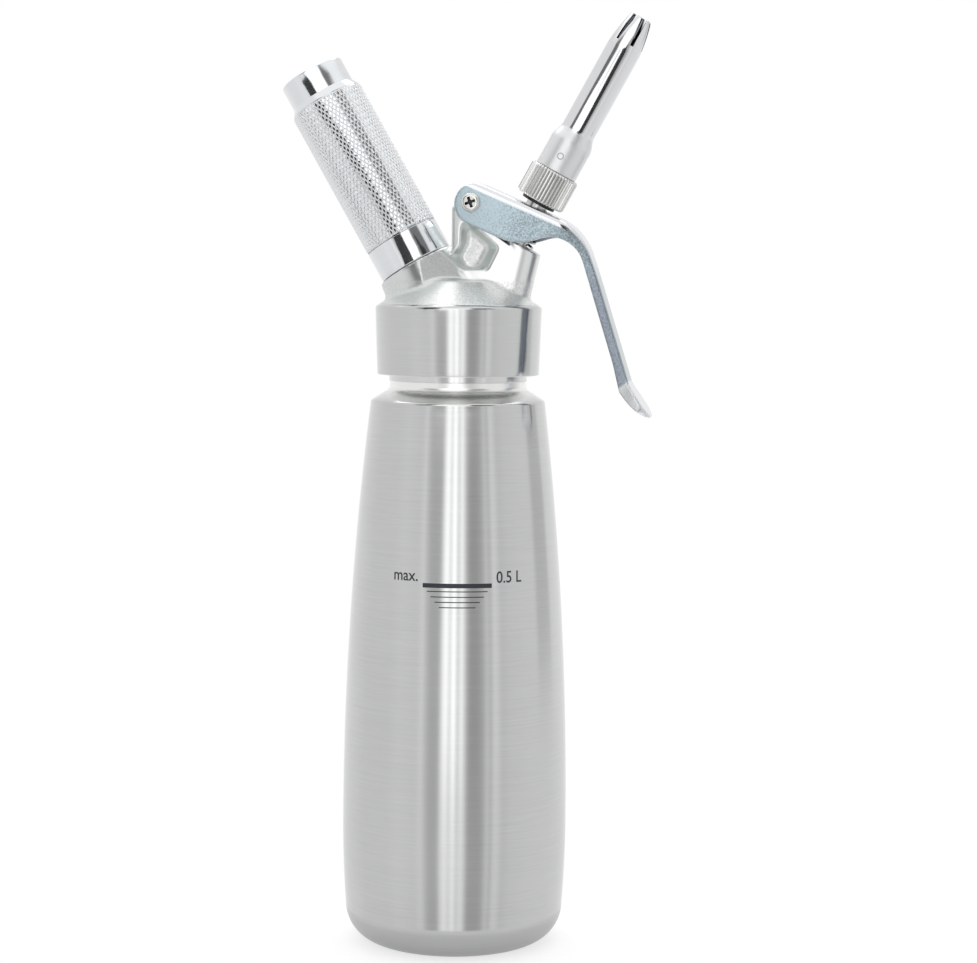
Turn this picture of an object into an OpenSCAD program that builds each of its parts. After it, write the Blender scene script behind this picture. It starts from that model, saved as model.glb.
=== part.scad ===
// Whipped cream dispenser: a steel bottle, a cast head that screws on it, a gas
// charger in a knurled holder, and a hand lever that opens a sprung valve.
// Millimetres. The origin is the centre of the foot, on the table. +Z is up, the
// nozzle and the lever lean to +X, the charger holder leans to -X, and the head
// of the lever's screw is at -Y.

/* [Bottle] */
// Largest radius of the bottle
bottle_r = 38.8; // [36:0.1:42]
// Height of the widest place
wide_z = 42; // [30:1:60]
// Radius where the rounding of the foot begins
foot_r = 37.7; // [36:0.1:38]
// Radius of the rounding between wall and base
foot_round = 13; // [8:0.5:18]
// Radius at the edge of the shoulder
shoulder_r = 29.9; // [28.5:0.1:32]
// Height of the edge of the shoulder
shoulder_z = 188.8; // [170:0.1:200]
// Radius of the rounded edge of the shoulder
shoulder_round = 1.2; // [0.5:0.1:1.5]
// Slope of the shoulder between its edge and the neck, in degrees
shoulder_slope = 32; // [24:1:40]
// Thickness of the bottle's sheet
wall = 1.2; // [0.8:0.1:1.5]

/* [Neck] */
// Outer radius of the drawn neck
neck_r = 23.4; // [22.8:0.1:23.5]
// Radius of the hollow round the foot of the neck
neck_fillet = 2; // [1:0.1:2.6]
// Height of the drawn neck above the edge of the shoulder
neck_rise = 6.2; // [6:0.1:9]
// Height of the welded neck ring
ring_h = 21; // [19:0.5:26]
// Outer radius of the neck ring over its thread
thread_r = 24.2; // [24:0.1:24.6]
// Outer radius of the lip below the thread
lip_r = 23.7; // [23.4:0.1:23.9]
// Height of that lip
lip_h = 3.2; // [2.6:0.1:4]
// Radius of the mouth
mouth_r = 19.8; // [18:0.1:20.5]
// How far the neck ring reaches down inside the drawn neck
spigot_h = 5; // [3:0.5:6]

/* [Head] */
// Gap between the neck's thread and the bore of the head
neck_clear = 0.3; // [0.2:0.05:0.5]
// Outer radius of the skirt at its lower edge
skirt_r = 27.8; // [27.4:0.1:30]
// Outer radius of the skirt at its upper edge
skirt_top_r = 28.6; // [28:0.1:31]
// Height of the skirt's straight side
skirt_h = 22.6; // [21:0.1:28]
// How far the skirt's lower edge is above the neck ring's lower edge
skirt_gap = 2.2; // [1:0.1:3]
// Radius of the skirt's rounded upper edge
skirt_round = 1.3; // [0.5:0.1:2]
// Radius at the top of the cone on the skirt
cone_r = 14.5; // [12:0.1:16]
// Height of that cone
cone_h = 8.4; // [6:0.1:10]
// Thickness of the head's gasket
gasket_t = 2.2; // [1.5:0.1:3]
// Height of the hollow under the cone
dome_h = 4.8; // [3:0.1:5]
// Radius at the top of that hollow
dome_r = 11; // [8:0.1:12]
// Half of the thickness of the web that carries the lever and the valve
web_half = 7.2; // [7:0.1:7.3]
// Left edge of the web
web_left = -1.4; // [-3:0.1:-1]
// Depth of the pocket in each side of the web
pocket_depth = 3.6; // [2:0.1:4]
// Pocket's middle, measured from the bottle's axis
pocket_x = 5.9; // [5.4:0.1:6.4]
// Height of the pocket's middle over the top of the cone
pocket_rise = 10.1; // [9.6:0.1:10.6]

/* [Valve] */
// Lean of the valve and nozzle towards +X, in degrees
valve_lean = 29; // [27:0.5:31]
// How far below the mouth the valve's axis crosses the bottle's axis
valve_drop = 9.2; // [8:0.1:11]
// Distance along the axis to the top face of the valve's boss
boss_s = 41.2; // [40.5:0.1:41.6]
// Lean of the boss's rounded end, in degrees
boss_lean = 13; // [8:1:20]
// How far the rounded end stands out from the valve's axis at the top face
boss_reach = 9.4; // [9:0.1:11]
// Distance along the axis to the valve seat
seat_s = 22; // [20:0.1:24]
// Radius of the valve stem
stem_r = 3.8; // [3.6:0.05:3.9]
// Running clearance of the stem in its bore
stem_clear = 0.06; // [0.02:0.01:0.1]
// Radius of the passage in the stem
stem_bore_r = 2.2; // [1.5:0.1:2.3]
// Radius of the stem's waist beside the cross holes
waist_r = 2.9; // [2.7:0.05:3.1]
// Length of that waist
waist_l = 6; // [5:0.1:7]
// Radius of the cross holes
cross_r = 1; // [0.6:0.1:1.2]
// Radius of the valve disc and its seal
disc_r = 5.3; // [4.8:0.1:5.4]
// Thickness of the valve disc
disc_t = 2.2; // [1.5:0.1:3]
// Thickness of the valve seal
seal_t = 2.4; // [1.5:0.1:2.6]
// Radius of the chamber round the disc
chamber_r = 5.7; // [5.6:0.1:5.9]
// Radius of the threaded upper end of the stem
stem_thread_r = 3.3; // [3:0.1:3.4]
// Depth of the groove for the ring that holds the collar
clip_groove = 0.5; // [0.3:0.05:0.6]
// Radius of the section of the stem's o-rings
o_ring_t = 0.55; // [0.4:0.05:0.6]
// Distances along the axis to the stem's two o-rings
o_ring_s1 = 31.5; // [30:0.1:33]
// Distance along the axis to the upper o-ring
o_ring_s2 = 36.5; // [35:0.1:38]
// Gap along the axis from the collar to the lever's plate
collar_gap = 0.85; // [0.8:0.05:1.2]
// Radius of the collar that the lever presses
collar_r = 7; // [6.4:0.1:7.1]
// Thickness of that collar
collar_t = 1.8; // [1.2:0.1:2.2]
// Radius of the collar's hub inside the spring
hub_r = 4.9; // [4.6:0.1:5]
// Length of that hub
hub_l = 2; // [1:0.1:2.5]
// Thickness of the ring that holds the collar
clip_t = 0.7; // [0.5:0.1:0.8]
// Outer radius of that ring
clip_r = 4.5; // [4.3:0.1:4.6]
// Diameter of the spring's wire
wire_d = 0.9; // [0.8:0.05:1]
// Radius of the middle of the spring's wire
coil_r = 5.7; // [5.6:0.05:5.8]
// Number of turns in the spring
coil_turns = 4; // [3:0.5:4.5]

/* [Nozzle] */
// Gap along the axis from the lever's plate to the seal under the adapter
washer_gap = 1.2; // [1.1:0.05:1.6]
// Length of the adapter
adapter_l = 11.4; // [10:0.1:13]
// Outer radius of the adapter over its flutes
adapter_r = 8.7; // [8:0.1:10]
// Number of flutes
flutes = 44; // [30:1:60]
// Depth of a flute
flute_depth = 0.35; // [0.2:0.05:0.5]
// Chamfer at both ends of the adapter
adapter_chamfer = 0.6; // [0.3:0.1:1]
// Thickness of the black seal under the adapter
washer_t = 1.15; // [0.9:0.05:1.15]
// Outer radius of that seal
washer_r = 6; // [5:0.1:6]
// Length of stem inside the adapter
stem_grip = 5.8; // [5:0.1:6.2]
// Radius of the tip's threaded foot
tip_foot_r = 6; // [5.6:0.1:6.2]
// Outer radius of the tip's bulb
bulb_r = 7.35; // [6.8:0.05:7.6]
// Length of the bulb's straight side
bulb_l = 10.4; // [9:0.1:12]
// Length of the neck between bulb and tube
bulb_neck_l = 5.6; // [4:0.1:7]
// Outer radius of the tip's tube
tube_r = 5.95; // [5.5:0.05:6.2]
// Length of the tube's straight side
tube_l = 31; // [25:0.5:40]
// Length of the closing end of the tip
nose_l = 12; // [10:0.5:14]
// Outer radius at the very end of the tip
nose_r = 3.75; // [3.2:0.05:4.2]
// Thickness of the tip's wall
tip_wall = 0.8; // [0.6:0.05:1]
// Length of the slots in the end of the tip
slot_l = 10; // [6:0.5:11]
// Width of those slots
slot_w = 1.1; // [0.6:0.1:1.4]

/* [Gas inlet] */
// Lean of the charger holder towards -X, in degrees
inlet_lean = 30; // [29:0.5:31]
// How far below the mouth the inlet's axis crosses the bottle's axis
inlet_drop = 6.8; // [6:0.1:8]
// Distance along the axis to the top face of the inlet's boss
inlet_s = 29.4; // [29:0.1:31]
// Radius of that boss at its top face
inlet_r = 14.1; // [13.5:0.1:15]
// Radius of that boss where it ends in the cone
inlet_foot_r = 16.5; // [15:0.1:17]
// Radius of the stud over its thread
stud_r = 10.8; // [10.4:0.1:11]
// Height of the stud above the boss
stud_h = 9.9; // [8:0.1:10]
// Radius of the stud's shank in the boss
shank_r = 8; // [7:0.1:8.5]
// Depth of the shank in the boss
shank_h = 11; // [10:0.1:11]
// Radius of the socket for the charger's neck
socket_r = 4.9; // [4.7:0.1:5.2]
// Depth of that socket
socket_h = 7.8; // [7:0.1:8]
// Thickness of the seal in the socket
pin_seal_t = 1.5; // [1:0.1:1.8]
// Radius of the piercing pin
pin_r = 1.1; // [0.8:0.05:1.2]
// Length of the pin above the floor of the socket
pin_l = 5; // [4:0.1:6]
// Radius of the pin's foot
pin_foot_r = 3; // [2.5:0.1:3.2]
// Thickness of the pin's foot
pin_foot_t = 1.4; // [1:0.1:1.8]
// Radius of the check valve
check_r = 2.5; // [2:0.1:2.7]
// Length of the check valve
check_l = 5; // [4:0.1:5.5]
// Radius of the gas passage
gas_r = 1.2; // [0.8:0.1:1.5]

/* [Charger and holder] */
// Outer radius of the holder over its knurl
holder_r = 13.1; // [12.6:0.1:14]
// Length of the smooth band at its mouth
band_l = 10.9; // [9:0.1:13]
// Depth of the groove between that band and the knurl
band_groove = 0.3; // [0.2:0.05:0.5]
// Length of the shoulder between knurl and cap
step_l = 2.5; // [1.5:0.1:4]
// Radius of the smooth cap
cap_r = 11.4; // [11:0.1:12.2]
// Length of the smooth cap
cap_l = 8.7; // [6:0.1:12]
// Thickness of the holder's end beyond the charger
holder_end_t = 6.05; // [4:0.05:9]
// Rounding of the cap's edge
cap_round = 0.6; // [0.4:0.1:1]
// Height of the low dome on the cap's end
cap_dome = 1.2; // [0.6:0.1:2]
// Gap between the holder and the head
holder_gap = 0.3; // [0.2:0.05:0.5]
// Radius of the charger
charger_r = 8.85; // [8.5:0.05:9]
// Length of the charger
charger_l = 65.4; // [62:0.1:66.5]
// Radius of the charger's neck
charger_neck_r = 4.3; // [4:0.05:4.5]
// Length of that neck
charger_neck_l = 9; // [7.5:0.1:10]
// Length of the charger's shoulder
charger_shoulder_l = 5.5; // [4:0.1:7]
// Thickness of the charger's wall
charger_wall = 1.4; // [1:0.1:1.8]
// Clearance of the charger in its holder
charger_clear = 0.35; // [0.25:0.05:0.5]
// Clearance of the holder's thread round the stud
thread_clear = 0.1; // [0.08:0.02:0.3]

/* [Lever] */
// Pivot's distance from the bottle's axis
pivot_x = 5.7; // [5.2:0.1:6]
// Pivot's height over the top of the cone
pivot_rise = 26.5; // [26:0.1:27]
// Slope of the lever's top plate at rest, in degrees
plate_slope = 23.3; // [23:0.1:24]
// Distance from the pivot to the plate's outer face
plate_h = 7.15; // [7:0.05:7.4]
// Plate length from the pivot to the middle of the rounded end
lever_end_u = 1.3; // [0.8:0.1:1.6]
// Gap between the head's lug and the plate over it
lug_gap = 0.45; // [0.3:0.05:0.6]
// Thickness of the lever's sheet
sheet = 1.5; // [1.2:0.1:1.6]
// Half of the width over the cheeks
cheek_half = 9; // [8.9:0.1:9.4]
// Plate length to the middle of the bow in the cheeks' lower edge
cheek_bow_u = 14; // [13:0.1:15]
// Radius of that bow
cheek_bow_r = 17; // [16:0.1:18]
// Slope at the end of that bow, in degrees
cheek_rise = 40; // [37:1:42]
// Half of the width of the handle
handle_half = 5.5; // [5:0.1:6.5]
// Half of the width of the finger paddle
paddle_half = 8; // [7:0.1:9]
// Plate length to the corner where the handle turns down
corner_u = 38.1; // [36:0.1:40]
// Angle between plate and handle, in degrees
handle_turn = 49.3; // [46:0.1:52]
// Outer radius of that bend
bend_r = 21; // [16:0.5:24]
// Depth of the handle's channel over all
handle_depth = 3.3; // [2.6:0.1:4.5]
// Length of the handle from the corner to the paddle
handle_l = 55; // [50:0.5:58]
// How far the paddle turns back outwards, in degrees
paddle_turn = 16; // [5:1:20]
// Length of the paddle
paddle_l = 13.5; // [12:0.5:18]
// Thickness of the paddle
paddle_t = 2; // [1.5:0.1:2.5]
// Radius of the pivot bush
bush_r = 2.75; // [2.5:0.05:3]
// Running clearance of the lever on the bush
bush_clear = 0.05; // [0.02:0.01:0.1]
// Radius of the screw's shank
screw_r = 1.75; // [1.5:0.05:2]
// Radius of the screw's head
screw_head_r = 3.2; // [3.1:0.05:3.6]
// Height of the screw's head
screw_head_h = 2.2; // [1.8:0.1:2.6]
// Width of the nut across its flats
nut_w = 7; // [6.5:0.1:8]
// Height of the nut
nut_h = 3; // [2.4:0.1:3.4]
// Gap between screw head and cheek
head_gap = 0.15; // [0.1:0.05:0.3]

/* [Hidden] */
$fn = 96;

// Spare length that a cutter runs past the face it cuts
cut = 1;
// Gap left between pieces that are assembled and do not turn on each other
fit = 0.05;
// Gap left where two pieces face each other but do not touch
seat_gap = 0.3;
// Chamfer on turned edges
bevel = 0.4;
// Steps along each curved stretch of the bottle's wall
wall_steps = 12;
// Steps along a quarter round
round_steps = 10;

neck_z = shoulder_z + neck_rise;
mouth_z = neck_z + ring_h;
skirt_z = neck_z + skirt_gap;
seat_z = mouth_z + gasket_t;
cone_z = skirt_z + skirt_h + skirt_round;
valve_z = mouth_z - valve_drop;
inlet_z = mouth_z - inlet_drop;
pivot_z = cone_z + cone_h + pivot_rise;
head_bore_r = thread_r + neck_clear;
guide_r = stem_r + stem_clear;
seal_s = seat_s - fit - seal_t;
disc_s = seal_s - fit - disc_t;
// Distance along the valve's axis to a plane parallel to the lever's plate, given that plane's
// distance from the pivot
function crossing(h) = (h + pivot_x * sin(plate_slope) + (pivot_z - valve_z) * cos(plate_slope))
                       / cos(valve_lean - plate_slope);
collar_s = crossing(plate_h - sheet) - collar_gap;
adapter_s = crossing(plate_h) + washer_gap + washer_t;
stem_top_s = adapter_s + stem_grip;
tip_s = adapter_s + adapter_l;
tip_foot_s = stem_top_s + seat_gap;
spring_low_s = boss_s + 2 * fit;
spring_high_s = collar_s - collar_t - 2 * fit;
stud_top_s = inlet_s + stud_h;
socket_s = stud_top_s - socket_h;
charger_s = socket_s + pin_seal_t + 4 * fit;
holder_s = inlet_s + holder_gap;
charger_end_s = charger_s + charger_l;
holder_top_s = charger_end_s + charger_clear + holder_end_t;

// A point at a given angle on a circle in a profile's plane
function on_circle(c, r, a) = [c[0] + r * cos(a), c[1] + r * sin(a)];
// An arc from angle a to angle b
function arc(c, r, a, b, n) = [for (i = [0:n]) on_circle(c, r, a + (b - a) * i / n)];
function reversed(list) = [for (i = [len(list) - 1:-1:0]) list[i]];
function unit(v) = v / norm(v);
function smooth_step(t) = t * t * (3 - 2 * t);

// Radius of the bottle's wall at a height: one bow below the widest place, one above it
function wall_r(z) = z < wide_z
  ? bottle_r - (bottle_r - foot_r) * pow((wide_z - z) / (wide_z - foot_round), 2)
  : bottle_r - (bottle_r - shoulder_r) * pow((z - wide_z) / (shoulder_z - wide_z), 2);

// Least radius of a rounded edge on the inside of the sheet
least_round = 0.2;

// The bottle's outline, drawn inwards by a distance
function bottle_line(inset) =
  let (
    foot = arc([foot_r - foot_round, foot_round], foot_round - inset, -90, 0, round_steps),
    low = [for (i = [1:wall_steps]) let (z = foot_round + (wide_z - foot_round) * i / wall_steps)
           [wall_r(z) - inset, z]],
    side_top = shoulder_z - shoulder_round,
    side = [for (i = [1:wall_steps]) let (z = wide_z + (side_top - wide_z) * i / wall_steps)
            [wall_r(z) - inset, z]],
    edge_r = wall_r(side_top) - shoulder_round,
    edge = arc([edge_r, side_top], shoulder_round - min(inset, shoulder_round - least_round),
               10, 90 - shoulder_slope, 5),
    hollow_r = neck_r + neck_fillet,
    // The slope touches the edge's arc and the hollow's arc, one from above and one from below
    hollow_z = side_top + (edge_r - hollow_r) * tan(shoulder_slope)
               + (shoulder_round + neck_fillet) / cos(shoulder_slope),
    hollow = arc([hollow_r, hollow_z], neck_fillet + inset, 270 - shoulder_slope, 180, 7),
    top = [[neck_r - inset, neck_z]]
  )
  concat([[0, inset]], foot, low, side, edge, hollow, top);

module bottle()
{
  color("#b9bab8")
    rotate_extrude()
      polygon(concat(bottle_line(0), reversed(bottle_line(wall))));
}

module threaded_neck()
{
  spigot_r = neck_r - wall - fit;
  color("#c4c5c3")
    rotate_extrude()
      polygon([[mouth_r, neck_z - spigot_h], [spigot_r, neck_z - spigot_h], [spigot_r, neck_z],
               [lip_r, neck_z], [lip_r, neck_z + lip_h], [thread_r, neck_z + lip_h + thread_r - lip_r],
               [thread_r, mouth_z - 2 * bevel], [thread_r - 2 * bevel, mouth_z], [mouth_r, mouth_z]]);
}

module head_gasket()
{
  color("#2a2a2a")
    translate([0, 0, mouth_z])
      difference()
      {
        cylinder(h = gasket_t, r = head_bore_r - fit);
        translate([0, 0, -cut])
          cylinder(h = gasket_t + 2 * cut, r = mouth_r + 4 * fit);
      }
}

module on_valve_axis(s = 0)
{
  translate([0, 0, valve_z])
    rotate([0, valve_lean, 0])
      translate([0, 0, s])
        children();
}

module on_inlet_axis(s = 0)
{
  translate([0, 0, inlet_z])
    rotate([0, -inlet_lean, 0])
      translate([0, 0, s])
        children();
}

// A profile in the XZ plane, given a thickness to both sides of it
module slab(points, half)
{
  rotate([90, 0, 0])
    linear_extrude(height = 2 * half, center = true)
      polygon(points);
}

// The point at a distance along the valve's axis and a distance across it
function valve_point(s, p) = [s * sin(valve_lean) + p * cos(valve_lean),
                              valve_z + s * cos(valve_lean) - p * sin(valve_lean)];

module skirt_and_cone()
{
  shoulder = [skirt_top_r - skirt_round, skirt_z + skirt_h];
  rotate_extrude()
    polygon(concat([[0, skirt_z], [skirt_r - bevel, skirt_z], [skirt_r, skirt_z + bevel]],
                   arc(shoulder, skirt_round, 0, 60, 5),
                   [[cone_r, cone_z + cone_h], [0, cone_z + cone_h]]));
}

// The rounded end's own directions, and how far it reaches down into the cone
boss_along = [sin(boss_lean), cos(boss_lean)];
boss_across = [cos(boss_lean), -sin(boss_lean)];
boss_foot_l = 20;
// How far the boss's top face reaches beyond the web's thickness towards the pivot
boss_top_reach = web_half + 1.6;

// The rounded end of the web, round the outer side of the valve
module web_end()
{
  rim = valve_point(boss_s, boss_reach);
  foot = rim - boss_across * web_half - boss_along * boss_foot_l;
  translate([foot[0], 0, foot[1]])
    rotate([0, boss_lean, 0])
      cylinder(h = boss_foot_l + web_half, r = web_half);
}

lug_r = plate_h - sheet - lug_gap;

module web()
{
  pivot = [pivot_x, pivot_z];
  end_top = valve_point(boss_s, boss_reach) - boss_across * web_half;
  end_foot = end_top - boss_along * (boss_foot_l - bevel);
  low_z = cone_z + bevel;
  slab([[web_left, low_z], [web_left, pivot_z - lug_r / 3], on_circle(pivot, lug_r, 140),
        on_circle(pivot, lug_r, 120), pivot, on_circle(pivot, lug_r, -20),
        valve_point(boss_s, -boss_top_reach), end_top, [end_foot[0], low_z]], web_half);
  translate([pivot_x, 0, pivot_z])
    rotate([90, 0, 0])
      cylinder(h = 2 * web_half, r = lug_r, center = true);
}

// One pocket: its floor, and its wider rim at the face of the web, round the pocket's middle
pocket_floor = [[-2.3, 8], [3.5, 4], [4.6, 2], [1.7, -5.2], [-2.8, -5.2], [-4.7, -1], [-3, 2.8]];
pocket_rim = [[-4.9, 10.5], [2.3, 8], [8.9, 2.1], [5.3, -6.5], [-6.7, -6.5], [-8.9, -2.1], [-5, 3.7]];

module pocket()
{
  thin = 0.01;
  translate([pocket_x, 0, cone_z + cone_h + pocket_rise])
    hull()
    {
      translate([0, pocket_depth - web_half, 0])
        slab(pocket_floor, thin);
      translate([0, -web_half - 2 * thin, 0])
        slab(pocket_rim, thin);
    }
}

// Length of the inlet's boss, down into the cone
inlet_foot_l = 17;
// Distance along both axes to a place inside the hollow under the cone
hollow_s = 7;

module head_casting()
{
  color("#c9cbca")
    difference()
    {
      union()
      {
        skirt_and_cone();
        difference()
        {
          union()
          {
            web_end();
            web();
          }
          // Top face of the valve's boss, square to its axis
          on_valve_axis(boss_s)
            translate([-boss_top_reach, -2 * web_half, 0])
              cube([6 * web_half, 4 * web_half, 6 * web_half]);
        }
        on_inlet_axis(inlet_s - inlet_foot_l)
          cylinder(h = inlet_foot_l, r1 = inlet_foot_r, r2 = inlet_r);
      }
      // Bore for the bottle's neck, and the hollow over it
      rotate_extrude()
        polygon([[0, skirt_z - cut], [head_bore_r, skirt_z - cut], [head_bore_r, seat_z], [mouth_r, seat_z],
                 [dome_r, seat_z + dome_h], [0, seat_z + dome_h]]);
      // Valve chamber, stem guide, gas passage, stud hole and pivot hole
      on_valve_axis(hollow_s)
        cylinder(h = seat_s - hollow_s, r = chamber_r);
      on_valve_axis(hollow_s)
        cylinder(h = boss_s, r = guide_r);
      on_inlet_axis(hollow_s)
        cylinder(h = inlet_s, r = gas_r);
      on_inlet_axis(inlet_s - shank_h - fit)
        cylinder(h = shank_h + cut, r = shank_r + fit);
      translate([pivot_x, 0, pivot_z])
        rotate([90, 0, 0])
          cylinder(h = 4 * web_half, r = bush_r + bush_clear, center = true);
      pocket();
      mirror([0, 1, 0])
        pocket();
    }
}

module inlet_stud()
{
  bore_s = socket_s - pin_foot_t - fit;
  color("#c8c8c6")
    on_inlet_axis()
      rotate_extrude()
        polygon([[gas_r, inlet_s - shank_h], [shank_r, inlet_s - shank_h], [shank_r, inlet_s],
                 [stud_r, inlet_s], [stud_r, stud_top_s - 2 * bevel], [stud_r - 2 * bevel, stud_top_s],
                 [socket_r, stud_top_s], [socket_r, socket_s], [pin_foot_r + fit, socket_s],
                 [pin_foot_r + fit, bore_s], [check_r + fit, bore_s],
                 [check_r + fit, bore_s - check_l - 2 * fit], [gas_r, bore_s - check_l - 2 * fit]]);
}

module piercing_pin()
{
  foot_s = socket_s - pin_foot_t;
  hole_r = pin_r / 3;
  color("#a9abad")
    on_inlet_axis()
      rotate_extrude()
        polygon([[hole_r, foot_s], [pin_foot_r, foot_s], [pin_foot_r, socket_s], [pin_r, socket_s],
                 [pin_r, socket_s + pin_l - 4 * bevel], [hole_r + fit, socket_s + pin_l],
                 [hole_r, socket_s + pin_l]]);
}

module pin_seal()
{
  color("#303030")
    on_inlet_axis(socket_s)
      difference()
      {
        cylinder(h = pin_seal_t, r = socket_r - fit);
        translate([0, 0, -cut])
          cylinder(h = pin_seal_t + 2 * cut, r = pin_r + fit);
      }
}

module check_valve()
{
  top_s = socket_s - pin_foot_t - fit;
  slit_r = 0.5;
  color("#d8d4c8")
    on_inlet_axis()
      rotate_extrude()
        polygon([[slit_r, top_s - check_l], [check_r - 2 * bevel, top_s - check_l],
                 [check_r, top_s - check_l / 2], [check_r, top_s], [slit_r, top_s]]);
}

module charger_holder()
{
  cap_s = holder_top_s - cap_l;
  groove_s = holder_s + band_l;
  dome_half = cap_r - cap_round;
  dome_curve = (pow(dome_half, 2) + pow(cap_dome, 2)) / (2 * cap_dome);
  bore_r = charger_r + charger_clear;
  thread_bore_r = stud_r + thread_clear;
  end_s = charger_end_s + charger_clear;
  color("#cfd1d3")
    on_inlet_axis()
      rotate_extrude()
        polygon(concat(
          [[thread_bore_r, holder_s], [holder_r - bevel, holder_s], [holder_r, holder_s + bevel],
           [holder_r, groove_s - band_groove], [holder_r - band_groove, groove_s],
           [holder_r, groove_s + band_groove], [holder_r, cap_s - step_l], [cap_r, cap_s]],
          arc([cap_r - cap_round, holder_top_s - cap_round], cap_round, 0, 75, 5),
          [for (i = [5:-1:0]) let (r = dome_half * i / 6)
           [r, holder_top_s + cap_dome - dome_curve + sqrt(pow(dome_curve, 2) - pow(r, 2))]],
          reversed(arc([0, end_s - bore_r], bore_r, 0, 90, round_steps)),
          [[bore_r, stud_top_s + thread_bore_r - bore_r], [thread_bore_r, stud_top_s]]));
}

// The charger's outline, drawn inwards by a distance
function charger_line(inset) =
  let (
    neck_top = charger_s + charger_neck_l,
    side_s = neck_top + charger_shoulder_l,
    bow = [for (i = [0:6]) let (t = i / 6)
           [charger_neck_r - inset + (charger_r - charger_neck_r) * smooth_step(t),
            neck_top + inset + (side_s - neck_top) * t]]
  )
  concat([[charger_neck_r - inset, charger_s + inset]], bow,
         arc([0, charger_end_s - charger_r], charger_r - inset, 0, 90, round_steps));

module gas_charger()
{
  hole_r = pin_r + charger_clear;
  color("#b4b6b5")
    on_inlet_axis()
      rotate_extrude()
        polygon(concat([[hole_r, charger_s]], charger_line(0), reversed(charger_line(charger_wall)),
                       [[hole_r, charger_s + charger_wall]]));
}

// The lever's own plane: u along its plate from the pivot, n square to the plate
handle_dir = [cos(handle_turn), -sin(handle_turn)];
handle_out = [sin(handle_turn), cos(handle_turn)];
paddle_dir = [cos(handle_turn - paddle_turn), -sin(handle_turn - paddle_turn)];
paddle_out = [sin(handle_turn - paddle_turn), cos(handle_turn - paddle_turn)];
lever_corner = [corner_u, plate_h];
bend_tangent = bend_r * tan(handle_turn / 2);
handle_end = lever_corner + handle_dir * handle_l;
paddle_end = handle_end + paddle_dir * paddle_l;

bend_middle = [corner_u - bend_tangent, plate_h - bend_r];

// A place before the lever's rounded end and one below all of it, for the cut that leaves the sheet
before_u = -2 * plate_h;
below_n = -90;

// Outer face of the lever from the plate to the end of the handle, and the sheet's inner face
lever_top = concat(arc(bend_middle, bend_r, 90, 90 - handle_turn, round_steps), [handle_end]);
lever_top_inner = concat([[before_u, plate_h - sheet]],
  arc(bend_middle, bend_r - sheet, 90, 90 - handle_turn, round_steps), [handle_end - handle_out * sheet]);

// Lower edge of the cheeks: straight, a bow up, a slope, and a bow over into the handle
cheek_slope_l = 2.5;
bow_end = [cheek_bow_u + cheek_bow_r * sin(cheek_rise), cheek_bow_r * (1 - cos(cheek_rise)) - plate_h];
slope_end = bow_end + cheek_slope_l * [cos(cheek_rise), sin(cheek_rise)];
slope_in = [sin(cheek_rise), -cos(cheek_rise)];
handle_offset = lever_corner * handle_out - handle_depth;
hump_r = (handle_offset - slope_end * handle_out) / (1 + slope_in * handle_out);
hump = slope_end + slope_in * hump_r;

lever_side = concat(
  lever_top,
  [paddle_end - paddle_out * bevel, paddle_end + (paddle_dir - paddle_out) * bevel,
   paddle_end - paddle_out * paddle_t],
  [handle_end - handle_out * paddle_t + paddle_dir * 2 * paddle_t,
   handle_end - handle_out * handle_depth - handle_dir * paddle_t],
  reversed(arc(hump, hump_r, 90 + cheek_rise, 90 - handle_turn, round_steps)),
  reversed(arc([cheek_bow_u, cheek_bow_r - plate_h], cheek_bow_r, -90, cheek_rise - 90, round_steps)),
  reversed(arc([lever_end_u, 0], plate_h, 90, 270, 2 * round_steps)));

module on_pivot()
{
  translate([pivot_x, 0, pivot_z])
    rotate([0, plate_slope, 0])
      children();
}

// The lever seen square to its plate: half widths along u, less a sheet's thickness inside.
// It narrows at the bend, widens to the paddle, and rounds off at the paddle's end.
narrow_u = corner_u - 8;
narrow_l = 16;
widen_u = handle_end[0] - 3;
widen_l = 9;

function lever_half(inset) =
  let (
    tip_u = paddle_end[0],
    narrowing = [for (i = [0:4]) let (t = i / 4)
                 [narrow_u + narrow_l * t, cheek_half - (cheek_half - handle_half) * smooth_step(t)]],
    widening = [for (i = [0:4]) let (t = i / 4)
                [widen_u + widen_l * t, handle_half + (paddle_half - handle_half) * smooth_step(t)]],
    rounding = [for (a = [10:20:70]) [tip_u - paddle_half / 2 * (1 - sin(a)), paddle_half * cos(a)]],
    side = concat([[before_u, cheek_half]], narrowing, widening, rounding, [[tip_u + cut, paddle_half / 4]])
  )
  [for (p = side) [p[0], p[1] - inset]];

module lever_plan(inset)
{
  half = lever_half(inset);
  translate([0, 0, below_n])
    linear_extrude(height = -2 * below_n)
      polygon(concat(half, [for (p = reversed(half)) [p[0], -p[1]]]));
}

// Where the valve's axis crosses the middle of the plate, measured along the plate
slot_s = crossing(plate_h - sheet / 2);
slot_u = (slot_s * sin(valve_lean) - pivot_x) * cos(plate_slope)
         - (valve_z + slot_s * cos(valve_lean) - pivot_z) * sin(plate_slope);
// Room round the retaining ring, across the plate and along it
slot_half_w = clip_r + 0.4;
slot_half_l = clip_r + 1.6;

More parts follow.
